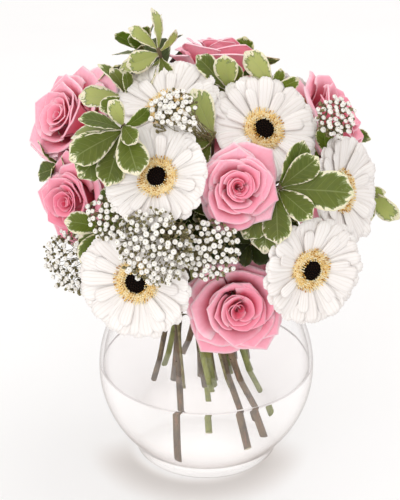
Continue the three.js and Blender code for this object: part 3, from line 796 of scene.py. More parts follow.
# A cloud has its middle, facing, the way its stem climbs, its florets here, its spread across, how
# far behind it the stem ends, and its turn.
gypsophila = [
    (0.072, [((0.002, -0.152, 0.271), (-4, 0), (0, 40), 76, 0.024, 0.034, 80),
             ((-0.042, -0.161, 0.276), (-30, -8), (-20, 40), 105, 0.031, 0.046, 0)]),
    (0.076, [((-0.114, -0.088, 0.228), (-50, -10), (-50, 10), 80, 0.028, 0.026, 50),
             ((-0.078, -0.134, 0.290), (-40, 10), (-40, 30), 36, 0.018, 0.024, 20)]),
    (0.070, [((-0.028, -0.114, 0.368), (-62, 29), (60, 60), 75, 0.020, 0.046, 30),
             ((0.104, -0.073, 0.352), (46, 36), (50, 50), 48, 0.017, 0.020, 70)]),
    (0.074, [((0.046, 0.126, 0.306), (160, 16), (160, 40), 36, 0.024, 0.020, 60),
             ((-0.054, 0.124, 0.296), (-156, 12), (-150, 30), 36, 0.024, 0.020, 0)]),
]
bundle = {  # the stems' spiral: at the tie, and how much wider and further round they are at the foot
    "tieHeight": 0.160, "tieRadius": 0.040, "footHeight": 0.015, "footScale": 1.9, "twist": 40,
    "gap": 0.008,
}
ballMiddle = 0.262
bloomDepth = 0.95  # how far a rose's base is behind its face, as a share of its radius
stemKinds = {  # radius, how far behind its head the stem ends
    "gerbera": (0.0027, 0.007), "rose": (0.003, 0.007), "gypsophila": (0.0013, -0.001),
    "pittosporum": (0.0025, 0.0015),
}


def slotFor(at):  # where a direction from the bouquet's middle lands in the tied bundle
    out = (Vector(at) - Vector((0, 0, ballMiddle))).normalized()
    reach = bundle["tieRadius"] * math.sqrt((1 - out.z) / 1.7)
    return Vector((out.x, out.y)).normalized() * reach


def spreadApart(slots):  # pushes crowded slots apart until the stems no longer touch
    for _ in range(200):
        for i, a in enumerate(slots):
            for b in slots[i + 1:]:
                missing = bundle["gap"] - (b - a).length
                if missing > 0:
                    push = (b - a).normalized() * missing / 2
                    a -= push
                    b += push


def lowerStem(slot, height):
    share = (height - bundle["footHeight"]) / (bundle["tieHeight"] - bundle["footHeight"])
    swing = math.radians(bundle["twist"])
    real = bundle["footScale"] * math.cos(swing) * (1 - share) + share
    turn = bundle["footScale"] * math.sin(swing) * (1 - share)
    return Vector((slot.x * real - slot.y * turn, slot.x * turn + slot.y * real, height))


def stemLine(stem, steps):  # from the foot, through the tie, to the back of the head
    end = Vector(stem["at"]) - facing(stem["face"]) * stem["deep"]
    start = lowerStem(stem["slot"], bundle["tieHeight"])
    climb = (start - lowerStem(stem["slot"], bundle["tieHeight"] - 0.010)).normalized()
    distance = (end - start).length
    arrive = facing(stem["climb"])
    bend = curved(start, start + climb * distance * 0.35, end - arrive * distance * 0.4, end, steps)
    return [lowerStem(stem["slot"], stem["foot"]), *bend]


def forkLine(line, steps, at, face, climb, reach):  # from partway up a stem to a further tip
    quarter = (len(line) - 2) // 4
    start = line[1 + quarter]
    rise = (line[1 + 2 * quarter] - line[1]).normalized()
    end = Vector(at) + facing(face) * (0.001 - reach)
    distance = (end - start).length
    return curved(start, start + rise * distance * 0.3, end - facing(climb) * distance * 0.35, end, steps)


stems = {kind: [] for kind in stemKinds}


def addStem(kind, foot, at, face, climb, further=0):
    thick, deep = stemKinds[kind]
    stems[kind].append({"at": at, "face": face, "climb": climb, "thick": thick, "deep": deep + further,
                        "foot": foot, "slot": slotFor(at)})


for at, face, radius, _, foot in gerberas:
    addStem("gerbera", foot, at, face, face)
for at, face, radius, _, foot in roses:
    addStem("rose", foot, at, face, face, radius * bloomDepth)
for foot, tips in gypsophila:
    at, face, climb, _, _, reach, _ = tips[0]
    addStem("gypsophila", foot, at, face, climb, reach)
for foot, tips in pittosporum:
    addStem("pittosporum", foot, *tips[0][:3])
spreadApart([stem["slot"] for kind in stems.values() for stem in kind])


stemShape = {"lowSteps": 5, "steps": 12, "knotStep": 2.1, "cutDepth": 0.004, "cutSlant": 1.2}


def stemPiece(name, stem, material, shape):  # the stem, cut at a slant at its foot, and its line
    line = stemLine(stem, stemShape["steps"])
    foot, tie = line[0], line[1]
    low = [foot.lerp(tie, k / stemShape["lowSteps"]) for k in range(stemShape["lowSteps"])]
    points = low + line[1:]
    rod = []
    for k, (spot, radius) in enumerate(tapered(points, stem["thick"], stem["thick"] * shape["taper"])):
        wave = math.sin(stemShape["knotStep"] * k + stem["foot"] * 900)
        rod.append((spot, radius * (1 + shape["knots"] * (0.5 + 0.5 * wave))))
    piece = rods(name, [rod], shape["sides"], material)
    piece.data.materials.append(finishes["cutStem"])
    down = (foot - tie).normalized()
    seed = stem["foot"] * 99
    tilt = Vector((scatter(1, seed) - 0.5, scatter(2, seed) - 0.5, 0)) * stemShape["cutSlant"]
    with editing(piece):
        bpy.ops.mesh.select_all(action="SELECT")
        bpy.ops.mesh.bisect(
            plane_co=foot - down * stemShape["cutDepth"],
            plane_no=(down + tilt).normalized(),
            use_fill=True,
            clear_outer=True,
        )
        piece.active_material_index = 1
        bpy.ops.object.material_slot_assign()
    return piece, points


# Gerberas: three kinds of ray, a ring of gold florets, a dark eye, and a stem with its green cup.

rayShape = {
    "length": 0.036, "width": 0.0142, "thick": 0.0003, "rows": 8,
    "folds": [-0.0003, 0.0001, -0.0002, 0.0001, -0.0002, 0.0001, -0.0003],
    "outline": [(0, 0.38), (0.2, 0.56), (0.45, 0.82), (0.7, 0.98), (0.86, 1), (0.94, 0.92), (1, 0.64)],
    "tip": [-0.035, 0.002, -0.006, 0.010, -0.006, 0.002, -0.035],
}
rayKinds = [  # how each kind of ray rises along its length, and its twist
    {"arch": [(0, 0), (0.5, 0.04), (0.8, 0.05), (1, 0.02)], "twist": 0},
    {"arch": [(0, 0), (0.5, 0.02), (0.8, 0.04), (1, 0.06)], "twist": 6},
    {"arch": [(0, 0), (0.4, 0.04), (0.75, 0.05), (1, 0.01)], "twist": -5},
]
rayRings = [  # count, where the rays start, reach, width, lift, tilt in degrees, all for a 47 mm head
    (21, 0.0115, 1.0, 1.0, -0.0004, 10),
    (21, 0.0110, 0.97, 0.96, 0.0003, 12),
    (7, 0.0105, 0.74, 0.7, 0.0012, 15),
]
rayPlay = {"turn": 5, "reach": (0.95, 0.07), "width": (0.94, 0.14), "lift": 0.0005, "tilt": 5, "roll": (4, 3)}
headRadius = 0.047
rayPetals = [bladeShape(f"ray{k}", {**rayShape, **kind}, finishes["ray"]) for k, kind in enumerate(rayKinds)]
goldFloret = cone("goldFloret", 4, 0.00040, 0.00058, 0.0034, finishes["gold"])
eyeFloret = cone("eyeFloret", 5, 0.00085, 0.0003, 0.0018, finishes["eye"])
domeProfile = [(0, 0.0028), (0.0086, 0.0028), (0.0084, 0.0040), (0.0056, 0.0052), (0, 0.0056)]
eyeDome = lathe("eyeDome", domeProfile, 24, finishes["eye"])
baseProfile = [(0.0084, 0.0020), (0.0165, 0.0020), (0.0160, 0.0034), (0.0130, 0.0046), (0.0092, 0.0040),
               (0.0084, 0.0020)]
goldBase = lathe("goldBase", baseProfile, 32, finishes["gold"])
cupProfile = [(0, -0.0100), (0.0030, -0.0096), (0.0040, -0.0075), (0.0078, -0.0050), (0.0110, -0.0020),
              (0.0112, -0.0008), (0, -0.0008)]
greenCup = lathe("greenCup", cupProfile, 20, finishes["gerberaStem"])
bractShape = {
    "length": 0.0125, "width": 0.0042, "thick": 0.0004, "rows": 4,
    "folds": [-0.0004, 0.0003, -0.0004],
    "outline": [(0, 0.7), (0.4, 1), (0.8, 0.6), (1, 0.15)],
    "arch": [(0, 0), (0.5, 0.04), (1, -0.02)],
}
bract = bladeShape("bract", bractShape, finishes["gerberaStem"])


def gerberaRays(name, seed, radius, place):
    parts = []
    grown = place @ scaled(radius / headRadius)
    for ring, (count, start, reach, width, lift, tilt) in enumerate(rayRings):
        for i in range(count):
            angle = varied(360 * (i + 0.5 * ring) / count, rayPlay["turn"], i, seed + ring)
            long = reach * varied(*rayPlay["reach"], i, seed + ring + 9)
            wide = width * varied(*rayPlay["width"], i, seed + ring + 5)
            rise = swayed(tilt, rayPlay["tilt"], i, seed + ring + 2)
            roll = swayed(*rayPlay["roll"], i, seed + 3)
            spot = spun(angle) @ moved(0, start, lift + rayPlay["lift"] * (i % 2)) @ spun(rise, "X")
            shape = grown @ (spot @ spun(roll, "Y") @ sized(wide, long, 1))
            kind = rayPetals[int(3 * scatter(i, seed + 4 * ring))]
            parts.append(placed(kind, shape, scatter(i, seed + 7 + ring)))
    return joined(name, parts)


goldRings = [  # count, distance out, lift, lean outwards in degrees, for a 47 mm head
    (30, 0.0095, 0.0030, -18), (34, 0.0108, 0.0034, -6), (38, 0.0121, 0.0035, 6), (42, 0.0134, 0.0034, 18),
    (44, 0.0147, 0.0030, 30), (46, 0.0159, 0.0024, 44),
]
goldPlay = {"turn": 0.3, "tall": (0.85, 0.4), "lean": 8}


def gerberaGold(name, seed, radius, place):
    grown = place @ scaled(radius / headRadius)
    parts = []
    for ring, (count, out, lift, lean) in enumerate(goldRings):
        for i in range(count):
            angle = 360 * varied(i + 0.5 * (ring % 2), goldPlay["turn"], i, seed + ring) / count
            tall = varied(*goldPlay["tall"], i, seed + ring + 3)
            tilt = -varied(lean, goldPlay["lean"], i, seed + 6)
            spot = spun(angle) @ moved(0, out, lift) @ spun(tilt, "X")
            tone = scatter(i, seed + ring + 11)
            parts.append(placed(goldFloret, grown @ spot @ sized(1, 1, tall), tone))
    parts.append(placed(goldBase, grown))
    return joined(name, parts)


eyeDisc = {"florets": 64, "reach": 0.0088, "top": 0.0052, "bulge": 18, "lean": 3600, "tall": (0.8, 0.5)}


def gerberaEye(name, seed, radius, place):
    grown = place @ scaled(radius / headRadius)
    parts = [placed(eyeDome, grown)]
    for i in range(eyeDisc["florets"]):
        out = eyeDisc["reach"] * math.sqrt((i + 0.5) / eyeDisc["florets"])
        high = eyeDisc["top"] - eyeDisc["bulge"] * out**2
        tall = varied(*eyeDisc["tall"], i, seed)
        spot = spun(goldenAngle * i) @ moved(0, out, high) @ spun(-out * eyeDisc["lean"], "X")
        parts.append(placed(eyeFloret, grown @ spot @ sized(1, 1, tall), scatter(i, seed)))
    return joined(name, parts)


bracts = {"count": 18, "foot": (0, 0.0030, -0.0094), "leans": (34, 24)}
gerberaStem = {"taper": 0.8, "knots": 0, "sides": 12}

for i, (at, face, radius, turn, _) in enumerate(gerberas):
    place = frameAt(at, facing(face), turn)
    node = f"gerbera_{i + 1}"
    settle(gerberaRays(f"gerbera{i + 1}Rays", i, radius, place), "gerbera_ray", f"{node}_rays")
    settle(gerberaGold(f"gerbera{i + 1}Gold", i, radius, place), "floret_gold", f"{node}_ring")
    settle(gerberaEye(f"gerbera{i + 1}Eye", i, radius, place), "eye", f"{node}_eye")
    stem, _ = stemPiece(f"gerbera{i + 1}Stem", stems["gerbera"][i], finishes["gerberaStem"], gerberaStem)
    parts = [stem, placed(greenCup, place)]
    for k in range(bracts["count"]):
        way = spun(360 / bracts["count"] * k) @ moved(*bracts["foot"]) @ spun(bracts["leans"][k % 2], "X")
        parts.append(placed(bract, place @ way))
    settle(joined(f"gerbera{i + 1}Stem", parts), "gerbera_stem", f"{node}_stem")
print("gerberas made")

# Roses, of cup petals. A petal's profile is (out, up) from base to rim, and wrap is how far it reaches
# round the head in degrees. Towards its sides it drops, ripples and flares, its far side laps outwards,
# and the middle of its rim is drawn out to a point.
cupShapes = {
    "outer": {
        "profile": [(0.12, 0), (0.38, 0.10), (0.54, 0.30), (0.62, 0.48), (0.70, 0.64), (0.80, 0.78),
                    (0.93, 0.88), (1.06, 0.92), (1.15, 0.88)],
        "columns": 12, "wrap": 100, "drop": 0.24, "ripple": 0.024, "lap": 0.05, "flare": -0.12,
        "point": 0.16, "start": 0.6, "thick": 0.012,
    },
    "middle": {
        "profile": [(0.14, 0), (0.46, 0.20), (0.58, 0.44), (0.66, 0.62), (0.74, 0.76), (0.83, 0.87),
                    (0.92, 0.95), (1.01, 0.995), (1.08, 0.985)],
        "columns": 12, "wrap": 122, "drop": 0.17, "ripple": 0.020, "lap": 0.10, "flare": -0.10,
        "point": 0.12, "start": 2.0, "thick": 0.014,
    },
    "inner": {
        "profile": [(0.30, 0.66), (0.46, 0.75), (0.60, 0.83), (0.72, 0.89), (0.82, 0.94), (0.91, 0.975),
                    (0.99, 0.998), (1.05, 1.0)],
        "columns": 12, "wrap": 155, "drop": 0.08, "ripple": 0.014, "lap": 0.14, "flare": -0.06,
        "point": 0.06, "start": 3.1, "thick": 0.02,
    },
    "core": {
        "profile": [(0.5, 0.80), (0.74, 0.86), (0.88, 0.92), (0.96, 0.965), (1.0, 1.0)],
        "columns": 16, "wrap": 330, "drop": 0.02, "ripple": 0.006, "lap": 0.34, "flare": 0, "point": 0,
        "start": 4.0, "thick": 0.06,
    },
}
cupPetals = {kind: cupPetal(f"{kind}Petal", shape, finishes["rose"]) for kind, shape in cupShapes.items()}
roseLayers = [  # kind, petals, rim radius and height as shares of the bloom's, lean outwards in degrees
    ("outer", 5, 0.92, 0.72, 9), ("outer", 4, 0.86, 0.84, 3), ("middle", 3, 0.75, 0.91, 2),
    ("middle", 4, 0.62, 0.935, 1), ("middle", 3, 0.49, 0.96, 1), ("inner", 3, 0.38, 0.975, 0),
    ("inner", 3, 0.29, 0.975, 0), ("inner", 2, 0.21, 0.96, 0), ("core", 1, 0.145, 0.94, 0),
    ("core", 1, 0.08, 0.925, 0),
]
openRoses = {4: 32, 0: 8, 5: 10, 3: -5}  # further lean of these roses' outer petals, in degrees
paleRoses = {0: 0.15, 1: -0.25, 4: 0.45}  # how much paler than the rest
bloomShape = {  # the pairs are a least share and how much more it may be
    "tall": 1.12, "layerTurn": 17, "turnPlay": 26, "width": (0.92, 0.15), "height": (0.96, 0.06),
    "leanPlay": 8, "looseLayers": 4, "looseWidth": 0.005, "tone": 0.85, "toneFall": 0.08, "tonePlay": 0.4,
}
hipProfile = [(0, -0.0110), (0.0030, -0.0105), (0.0042, -0.0085), (0.0066, -0.0050), (0.0070, -0.0020),
              (0.0064, 0.0004), (0, 0.0004)]
roseHip = lathe("roseHip", hipProfile, 16, finishes["roseStem"])
sepalShape = {
    "length": 0.026, "width": 0.0075, "thick": 0.0005, "rows": 7,
    "folds": [-0.0006, 0.0004, -0.0006],
    "outline": [(0, 0.8), (0.25, 1), (0.6, 0.6), (0.85, 0.25), (1, 0.05)],
    "arch": [(0, 0), (0.4, 0.03), (0.75, -0.05), (1, -0.22)],
}
sepal = bladeShape("sepal", sepalShape, finishes["gerberaStem"])
thorn = cone("thorn", 5, 0.0011, 0.0001, 0.0034, finishes["roseStem"])
roseStem = {"taper": 0.85, "knots": 0.06, "sides": 12}
sepals = {"count": 5, "turn": 20, "foot": (0, 0.0058, -0.0010), "lean": (36, 20)}
thorns = {"steps": slice(3, 10, 2), "out": 0.0022}  # at which points of the stem's line, and how far out


def roseBloom(name, seed, radius, place):
    parts = []
    height = radius * bloomShape["tall"]
    start = 0
    for layer, (kind, count, out, up, lean) in enumerate(roseLayers):
        start += 360 / count * 0.5 + bloomShape["layerTurn"]
        for i in range(count):
            angle = swayed(start + 360 * i / count, bloomShape["turnPlay"], i, seed + layer)
            loose = max(0, 1 - layer / bloomShape["looseLayers"]) * openRoses.get(seed, 0)
            wider = varied(*bloomShape["width"], i, seed + 2 * layer) + bloomShape["looseWidth"] * loose
            wide = radius * out * wider
            tall = height * up * varied(*bloomShape["height"], i, seed + 3 * layer + 1)
            tip = swayed(lean + loose, bloomShape["leanPlay"], i, seed + layer + 5)
            spot = spun(angle) @ spun(tip, "X") @ sized(wide, wide, tall)
            tone = bloomShape["tone"] - bloomShape["toneFall"] * layer + paleRoses.get(seed, 0)
            tone = swayed(tone, bloomShape["tonePlay"], i, seed + layer + 8)
            parts.append(placed(cupPetals[kind], place @ spot, min(1, max(0, tone))))
    return joined(name, parts)


for i, (at, face, radius, turn, _) in enumerate(roses):
    direction = facing(face)
    place = frameAt(Vector(at) - direction * radius * bloomDepth, direction, turn)
    node = f"rose_{i + 1}"
    settle(roseBloom(f"rose{i + 1}Bloom", i, radius, place), "rose_petal", f"{node}_bloom")
    stem, points = stemPiece(f"rose{i + 1}Stem", stems["rose"][i], finishes["roseStem"], roseStem)
    parts = [stem, placed(roseHip, place)]
    for k in range(sepals["count"]):
        lean = varied(*sepals["lean"], k, i)
        spot = spun(360 / sepals["count"] * k + sepals["turn"]) @ moved(*sepals["foot"]) @ spun(lean, "X")
        parts.append(placed(sepal, place @ spot))
    for k, spot in enumerate(points[thorns["steps"]]):
        side = Vector((scatter(k, i) - 0.5, scatter(k, i + 4) - 0.5, 0.1)).normalized()
        parts.append(placed(thorn, frameAt(spot + side * thorns["out"], side)))
    settle(joined(f"rose{i + 1}Stem", parts), "rose_stem", f"{node}_stem")
print("roses made")

# Pittosporum: branches with a rosette of leaves at each tip and older leaves below it.

leafShape = {
    "length": 0.046, "width": 0.025, "thick": 0.0005, "rows": 9,
    "folds": [0.0012, 0.0008, 0.0003, -0.0009, 0.0003, 0.0008, 0.0012],
    "outline": [(0, 0.10), (0.1, 0.16), (0.24, 0.42), (0.42, 0.74), (0.6, 0.96), (0.74, 1), (0.86, 0.88),
                (0.95, 0.58), (1, 0.26)],
    "tip": [-0.035, -0.012, 0, 0.004, 0, -0.012, -0.035],
    "wave": 0.0007,
}
leafKinds = [
    {"arch": [(0, 0), (0.3, -0.01), (0.7, -0.07), (1, -0.16)], "start": 0, "twist": 0},
    {"arch": [(0, 0), (0.3, 0.01), (0.7, -0.05), (1, -0.20)], "start": 1.5, "twist": 14},
    {"arch": [(0, 0), (0.3, 0.02), (0.7, 0.02), (1, -0.06)], "start": 3, "twist": -12},
]
leaves = [bladeShape(f"leaf{k}", {**leafShape, **kind}, finishes["leaf"]) for k, kind in enumerate(leafKinds)]
# The leaves of the rosettes that show, by branch and tip: the way each points in the picture and its
# angle from the line of sight in degrees, its size, its roll about its own length, and its tone; a tone below
# 0 is painted shade.
shownRosettes = {
    (0, 0): [(88, 80, 0.7, 55, 1), (136, 72, 0.65, 50, 0.95), (41, 70, 0.5, 55, 1),
             (200, 50, 0.75, 0, 0.9), (195, 78, 0.8, 50, 1), (-70, 55, 0.7, 0, 0.6),
             (235, 75, 0.75, 50, 0.8)],
    (0, 1): [(121, 80, 0.7, 55, 0.6), (112, 75, 0.55, 30, 0.7), (85, 60, 0.5, 40, 0.5),
             (196, 50, 0.6, 0, 0.4), (169, 85, 0.88, 35, 0.95), (-110, 50, 0.4, 0, 0.3)],
    (1, 0): [(128, 60, 0.8, 0, 1), (15, 70, 0.5, 20, 0.6), (60, 60, 0.45, 30, 0.5),
             (200, 60, 0.5, 0, 0.4)],
    (1, 1): [(99, 46, 0.8, 0, 0.9), (126, 75, 0.85, 40, 0.3), (165, 60, 0.5, 10, 0.2),
             (70, 70, 0.6, 30, 0.5)],
    (2, 0): [(215, 50, 0.45, 0, 0.3), (39, 70, 0.85, 15, 0.2), (56, 72, 0.88, 25, 0.1),
             (-2, 78, 1.28, 0, 0.55), (-39, 58, 0.82, 0, 0.3), (-88, 68, 0.95, 10, 0.45),
             (240, 70, 1, 0, 0.3), (260, 74, 1.1, 0, 0.5)],
    (2, 1): [(95, 45, 0.6, 0, 0.5), (-60, 72, 0.78, 0, 0.4), (150, 50, 0.5, 20, 0.2)],
    # deep inside the bouquet, darkened with painted shade
    (2, 2): [(150, 60, 0.7, 0, -0.3), (200, 60, 0.75, 10, -0.4), (255, 60, 0.45, 0, -0.35),
             (95, 60, 0.7, 0, -0.4), (30, 60, 0.6, 20, -0.3), (310, 50, 0.6, 0, -0.4)],
    (3, 0): [(-60, 25, 0.6, 0, 0.4), (110, 40, 0.6, 20, 1), (-74, 42, 1.02, 0, 0.62),
             (28, 75, 0.55, 30, 0.05), (178, 85, 0.85, 60, 0.8), (155, 70, 0.75, 45, 0.05),
             (205, 60, 1.02, 0, 0.5), (225, 68, 1.05, 0, 0.3), (252, 62, 0.95, 0, 0.45)],
    (3, 1): [(165, 65, 0.75, 0, 0.6), (10, 50, 0.55, 0, 0.7), (225, 70, 0.8, 0, 0.5),
             (110, 45, 0.5, 0, 0.4)],
    (3, 2): [(114, 75, 0.9, 15, 0.85), (190, 50, 0.6, 0, 0.6), (240, 60, 0.5, 0, 0.4)],
    (4, 0): [(-48, 75, 0.85, 25, 1), (-80, 70, 0.65, 10, 0.7), (-15, 60, 0.5, 30, 0.8),
             (60, 60, 0.4, 0, 0.3)],
}
rosetteShape = {  # the leaves of the other rosettes lean out further and are larger from inside out
    "more": 2, "lean": 28, "leanGain": 52, "size": 0.62, "sizeGain": 0.38, "sizePlay": 0.1, "tone": 0.65,
    "root": 0.001, "rootGain": 0.010,  # how far down the twig a leaf starts
}
twigLeaves = {  # leaves down a twig point partly up it and partly outwards, three at each place
    "sides": (0, 120, 240), "play": 50, "climb": 0.5, "out": 0.87, "size": (0.75, 0.3),
    # a tone below 0 paints shade on the leaf
    "tone": 0.3, "toneFall": 0.65,
    "gap": 0.006, "clearAt": (0.4, 0.7, 1.0),  # kept behind a head, tested at shares of the length
}
headRoom = {"behind": 0.004, "before": 0.016, "roseBack": 0.45, "roseReach": 0.98}


def clearOfHeads(spot, gap):  # True where no head would be run through
    for at, face, radius, *_ in gerberas:
        away = spot - Vector(at)
        deep = away.dot(facing(face))
        aside = (away - facing(face) * deep).length
        if -headRoom["behind"] - gap < deep < headRoom["before"] and aside < radius:
            return False
    for at, face, radius, *_ in roses:
        middle = Vector(at) - facing(face) * radius * headRoom["roseBack"]
        if (spot - middle).length < radius * headRoom["roseReach"]:
            return False
    return True


def beforeHead(spot, heads):  # True where it would hide one of these heads from the camera
    away = spot - Vector(view["place"])
    for at, _, radius, *_ in heads:
        reach = Vector(at) - Vector(view["place"])
        aside = (away.normalized() - reach.normalized()).length * reach.length
        if away.length < reach.length and aside < radius:
            return True
    return False


def leafAt(root, direction, back, grown, tone, roll=0):  # a leaf from its root, with its face towards back
    y = direction.normalized()
    x = y.cross(back).normalized()
    basis = Matrix((x, y, x.cross(y))).transposed().to_4x4()
    kind = leaves[int(3 * scatter(int(tone * 997), 3))]
    return placed(kind, Matrix.Translation(root) @ basis @ spun(roll, "Y") @ scaled(grown), tone)


def plainRosette(count, turn, size, branch):  # one that the viewer hardly sees
    spread = []
    for i in range(count):
        old = (i + 0.5) / count
        grown = rosetteShape["size"] + rosetteShape["sizeGain"] * old
        grown = varied(grown, rosetteShape["sizePlay"], i, turn)
        lean = rosetteShape["lean"] + rosetteShape["leanGain"] * old
        tone = rosetteShape["tone"] * scatter(i, turn + branch * 7)
        spread.append((goldenAngle * i, lean, size * grown, 0, tone))
    return spread


def rosette(tip, line, key):  # the leaves round a tip, which ends its branch's line
    at, face, _, count, turn, size = tip
    back = (line[-2] - line[-1]).normalized()
    if key in shownRosettes:
        spread = shownRosettes[key]
        axis = (Vector(view["place"]) - Vector(at)).normalized()
        place = frameAt((0, 0, 0), axis)
    else:
        spread = plainRosette(count + rosetteShape["more"], turn, size, key[0])
        axis = facing(face)
        place = frameAt((0, 0, 0), axis, turn)
    parts = []
    for i, (around, tilt, grown, roll, tone) in enumerate(spread):
        lean = math.radians(tilt)
        root = line[-1] + back * (rosetteShape["root"] + rosetteShape["rootGain"] * i / len(spread))
        way = axis * math.cos(lean) + place @ ringPoint(1, around) * math.sin(lean)
        parts.append(leafAt(root, way, axis, grown, tone, roll))
    return parts


def leavesAlong(line, seed):  # older leaves down the twig, where no head is in the way, many darkened by painted shade through a tone below 0
    parts = []
    first = len(line) // 3
    for i, (spot, after) in enumerate(zip(line[first:-1], line[first + 1:])):
        climb = (after - spot).normalized()
        for side in twigLeaves["sides"]:
            around = varied(goldenAngle * i + side, twigLeaves["play"], i, seed)
            level = frameAt((0, 0, 0), climb, around) @ Vector((1, 0, 0))
            way = climb * twigLeaves["climb"] + level * twigLeaves["out"]
            grown = varied(*twigLeaves["size"], i, seed + side)
            length = leafShape["length"] * grown
            free = True
            for share in twigLeaves["clearAt"]:
                sample = spot + way * length * share
                free = free and clearOfHeads(sample, twigLeaves["gap"])
                free = free and not beforeHead(sample, gerberas + roses)
            if free:
                # painted shade where the tone falls below 0
                tone = twigLeaves["tone"] - twigLeaves["toneFall"] * scatter(i, seed + side + 2)
                parts.append(leafAt(spot, way, climb, grown, tone))
    return parts


def branchLines(points, tips, reaches):  # the lead of a branched stem and its forks
    lead = [points[0], *points[stemShape["lowSteps"]:]]
    lines = [lead]
    for (at, face, climb, *_), reach in zip(tips[1:], reaches):
        lines.append(forkLine(lead, stemShape["steps"], at, face, climb, reach))
    return lines


def forkRods(lines, shape, material):
    forks = [tapered(line, *shape["forkRadii"]) for line in lines[1:]]
    return rods("forks", forks, shape["sides"] - 2, material)


twigShape = {"taper": 0.6, "knots": 0.15, "sides": 10, "forkRadii": (0.0017, 0.0010), "forkReach": 0.0025}

for i, (_, tips) in enumerate(pittosporum):
    name = f"pittosporum{i + 1}"
    stem, points = stemPiece(name, stems["pittosporum"][i], finishes["twigBark"], twigShape)
    lines = branchLines(points, tips, [twigShape["forkReach"]] * len(tips[1:]))
    parts = [stem, forkRods(lines, twigShape, finishes["twigBark"])]
    for t, (tip, line) in enumerate(zip(tips, lines)):
        parts += rosette(tip, line, (i, t))
        parts += leavesAlong(line, 10 * i + t)
    settle(joined(name, parts), "pittosporum", f"pittosporum_{i + 1}")
print("leafy branches made")

# Gypsophila: sprays with a cloud of florets and buds at each tip.

floretShape = {"radius": 0.0023, "squash": 0.72, "lobe": 1.2, "dish": 0.0007, "lift": 0.0010}


def floretPiece():  # a full double floret with a dished top and a small eye, on +Z from its own foot
    shape = floretShape
    deselect()
    bpy.ops.mesh.primitive_uv_sphere_add(segments=10, ring_count=6, radius=shape["radius"] / shape["lobe"])
    ball = bpy.context.object
    levels = linesOf(ball, 2)
    with editing(ball):
        for level, row in enumerate(levels[1:-1]):
            pick(ball, row[level % 2::2])
            bpy.ops.transform.resize(value=(shape["lobe"], shape["lobe"], 1), center_override=(0, 0, 0))
        pick(ball, levels[-1])
        bpy.ops.transform.translate(value=(0, 0, -shape["dish"]))
        bpy.ops.mesh.select_all(action="SELECT")
        bpy.ops.transform.resize(value=(1, 1, shape["squash"]), center_override=(0, 0, 0))
        bpy.ops.transform.translate(value=(0, 0, shape["lift"]))
    ball.data.materials.append(finishes["gypsophilaFloret"])
    eye = cone("eye", 5, 0.0005, 0.0002, 0.0005, finishes["gypsophilaEye"])
    eye.data.transform(moved(0, 0, shape["lift"] + shape["radius"] * shape["squash"] * 0.62))
    return joined("floret", [ball, eye])


floret = floretPiece()
deselect()
bpy.ops.mesh.primitive_ico_sphere_add(subdivisions=1, radius=0.0012)
bud = bpy.context.object
bpy.ops.object.shade_smooth()
bud.data.materials.append(finishes["gypsophilaBud"])


cloudShape = {
    "toViewer": 0.8,  # how far a cloud in front turns to the viewer
    "play": 14, "crown": 3, "depth": 0.008,  # of the florets over the cap
    "hubs": 5, "floretsPerHub": 5, "hubSpread": 0.8, "hubDepth": (0.011, 0.004),
    "lift": 0.35, "neck": 0.002, "floretSize": (0.82, 0.34),
    "budsPerFloret": 3, "budDepth": (0.005, 0.007), "budSize": (0.7, 0.6),
}
threadRadii = {
    "twig": (0.0005, 0.00038, 0.0003), "stalk": (0.00024, 0.00020, 0.00024), "bud": (0.00026, 0.00022),
}
sprayShape = {"taper": 0.7, "knots": 0.1, "sides": 8, "forkRadii": (0.0009, 0.0007)}
keptHeads = {(2, 0): gerberas[:1]}  # heads that a cloud leaves in view, by spray and tip


def capPoints(place, spread, count, seed, turn):  # where the florets sit
    points = []
    for i in range(count):
        out = spread * math.sqrt((i + 0.5) / count)
        around = varied(goldenAngle * i, cloudShape["play"], i, seed)
        ruffle = cloudShape["depth"] * (scatter(i, turn + 5) - 0.4)
        points.append(place @ ringPoint(out, around, ruffle - out**2 / (cloudShape["crown"] * spread)))
    return points


def budPoints(place, spread, count, seed):  # where the buds sit, below the florets
    points = []
    for i in range(count):
        out = spread * math.sqrt(scatter(i, seed + 21))
        depth = varied(*cloudShape["budDepth"], i, seed + 23)
        points.append(place @ ringPoint(out, 360 * scatter(i, seed + 22), -depth))
    return points


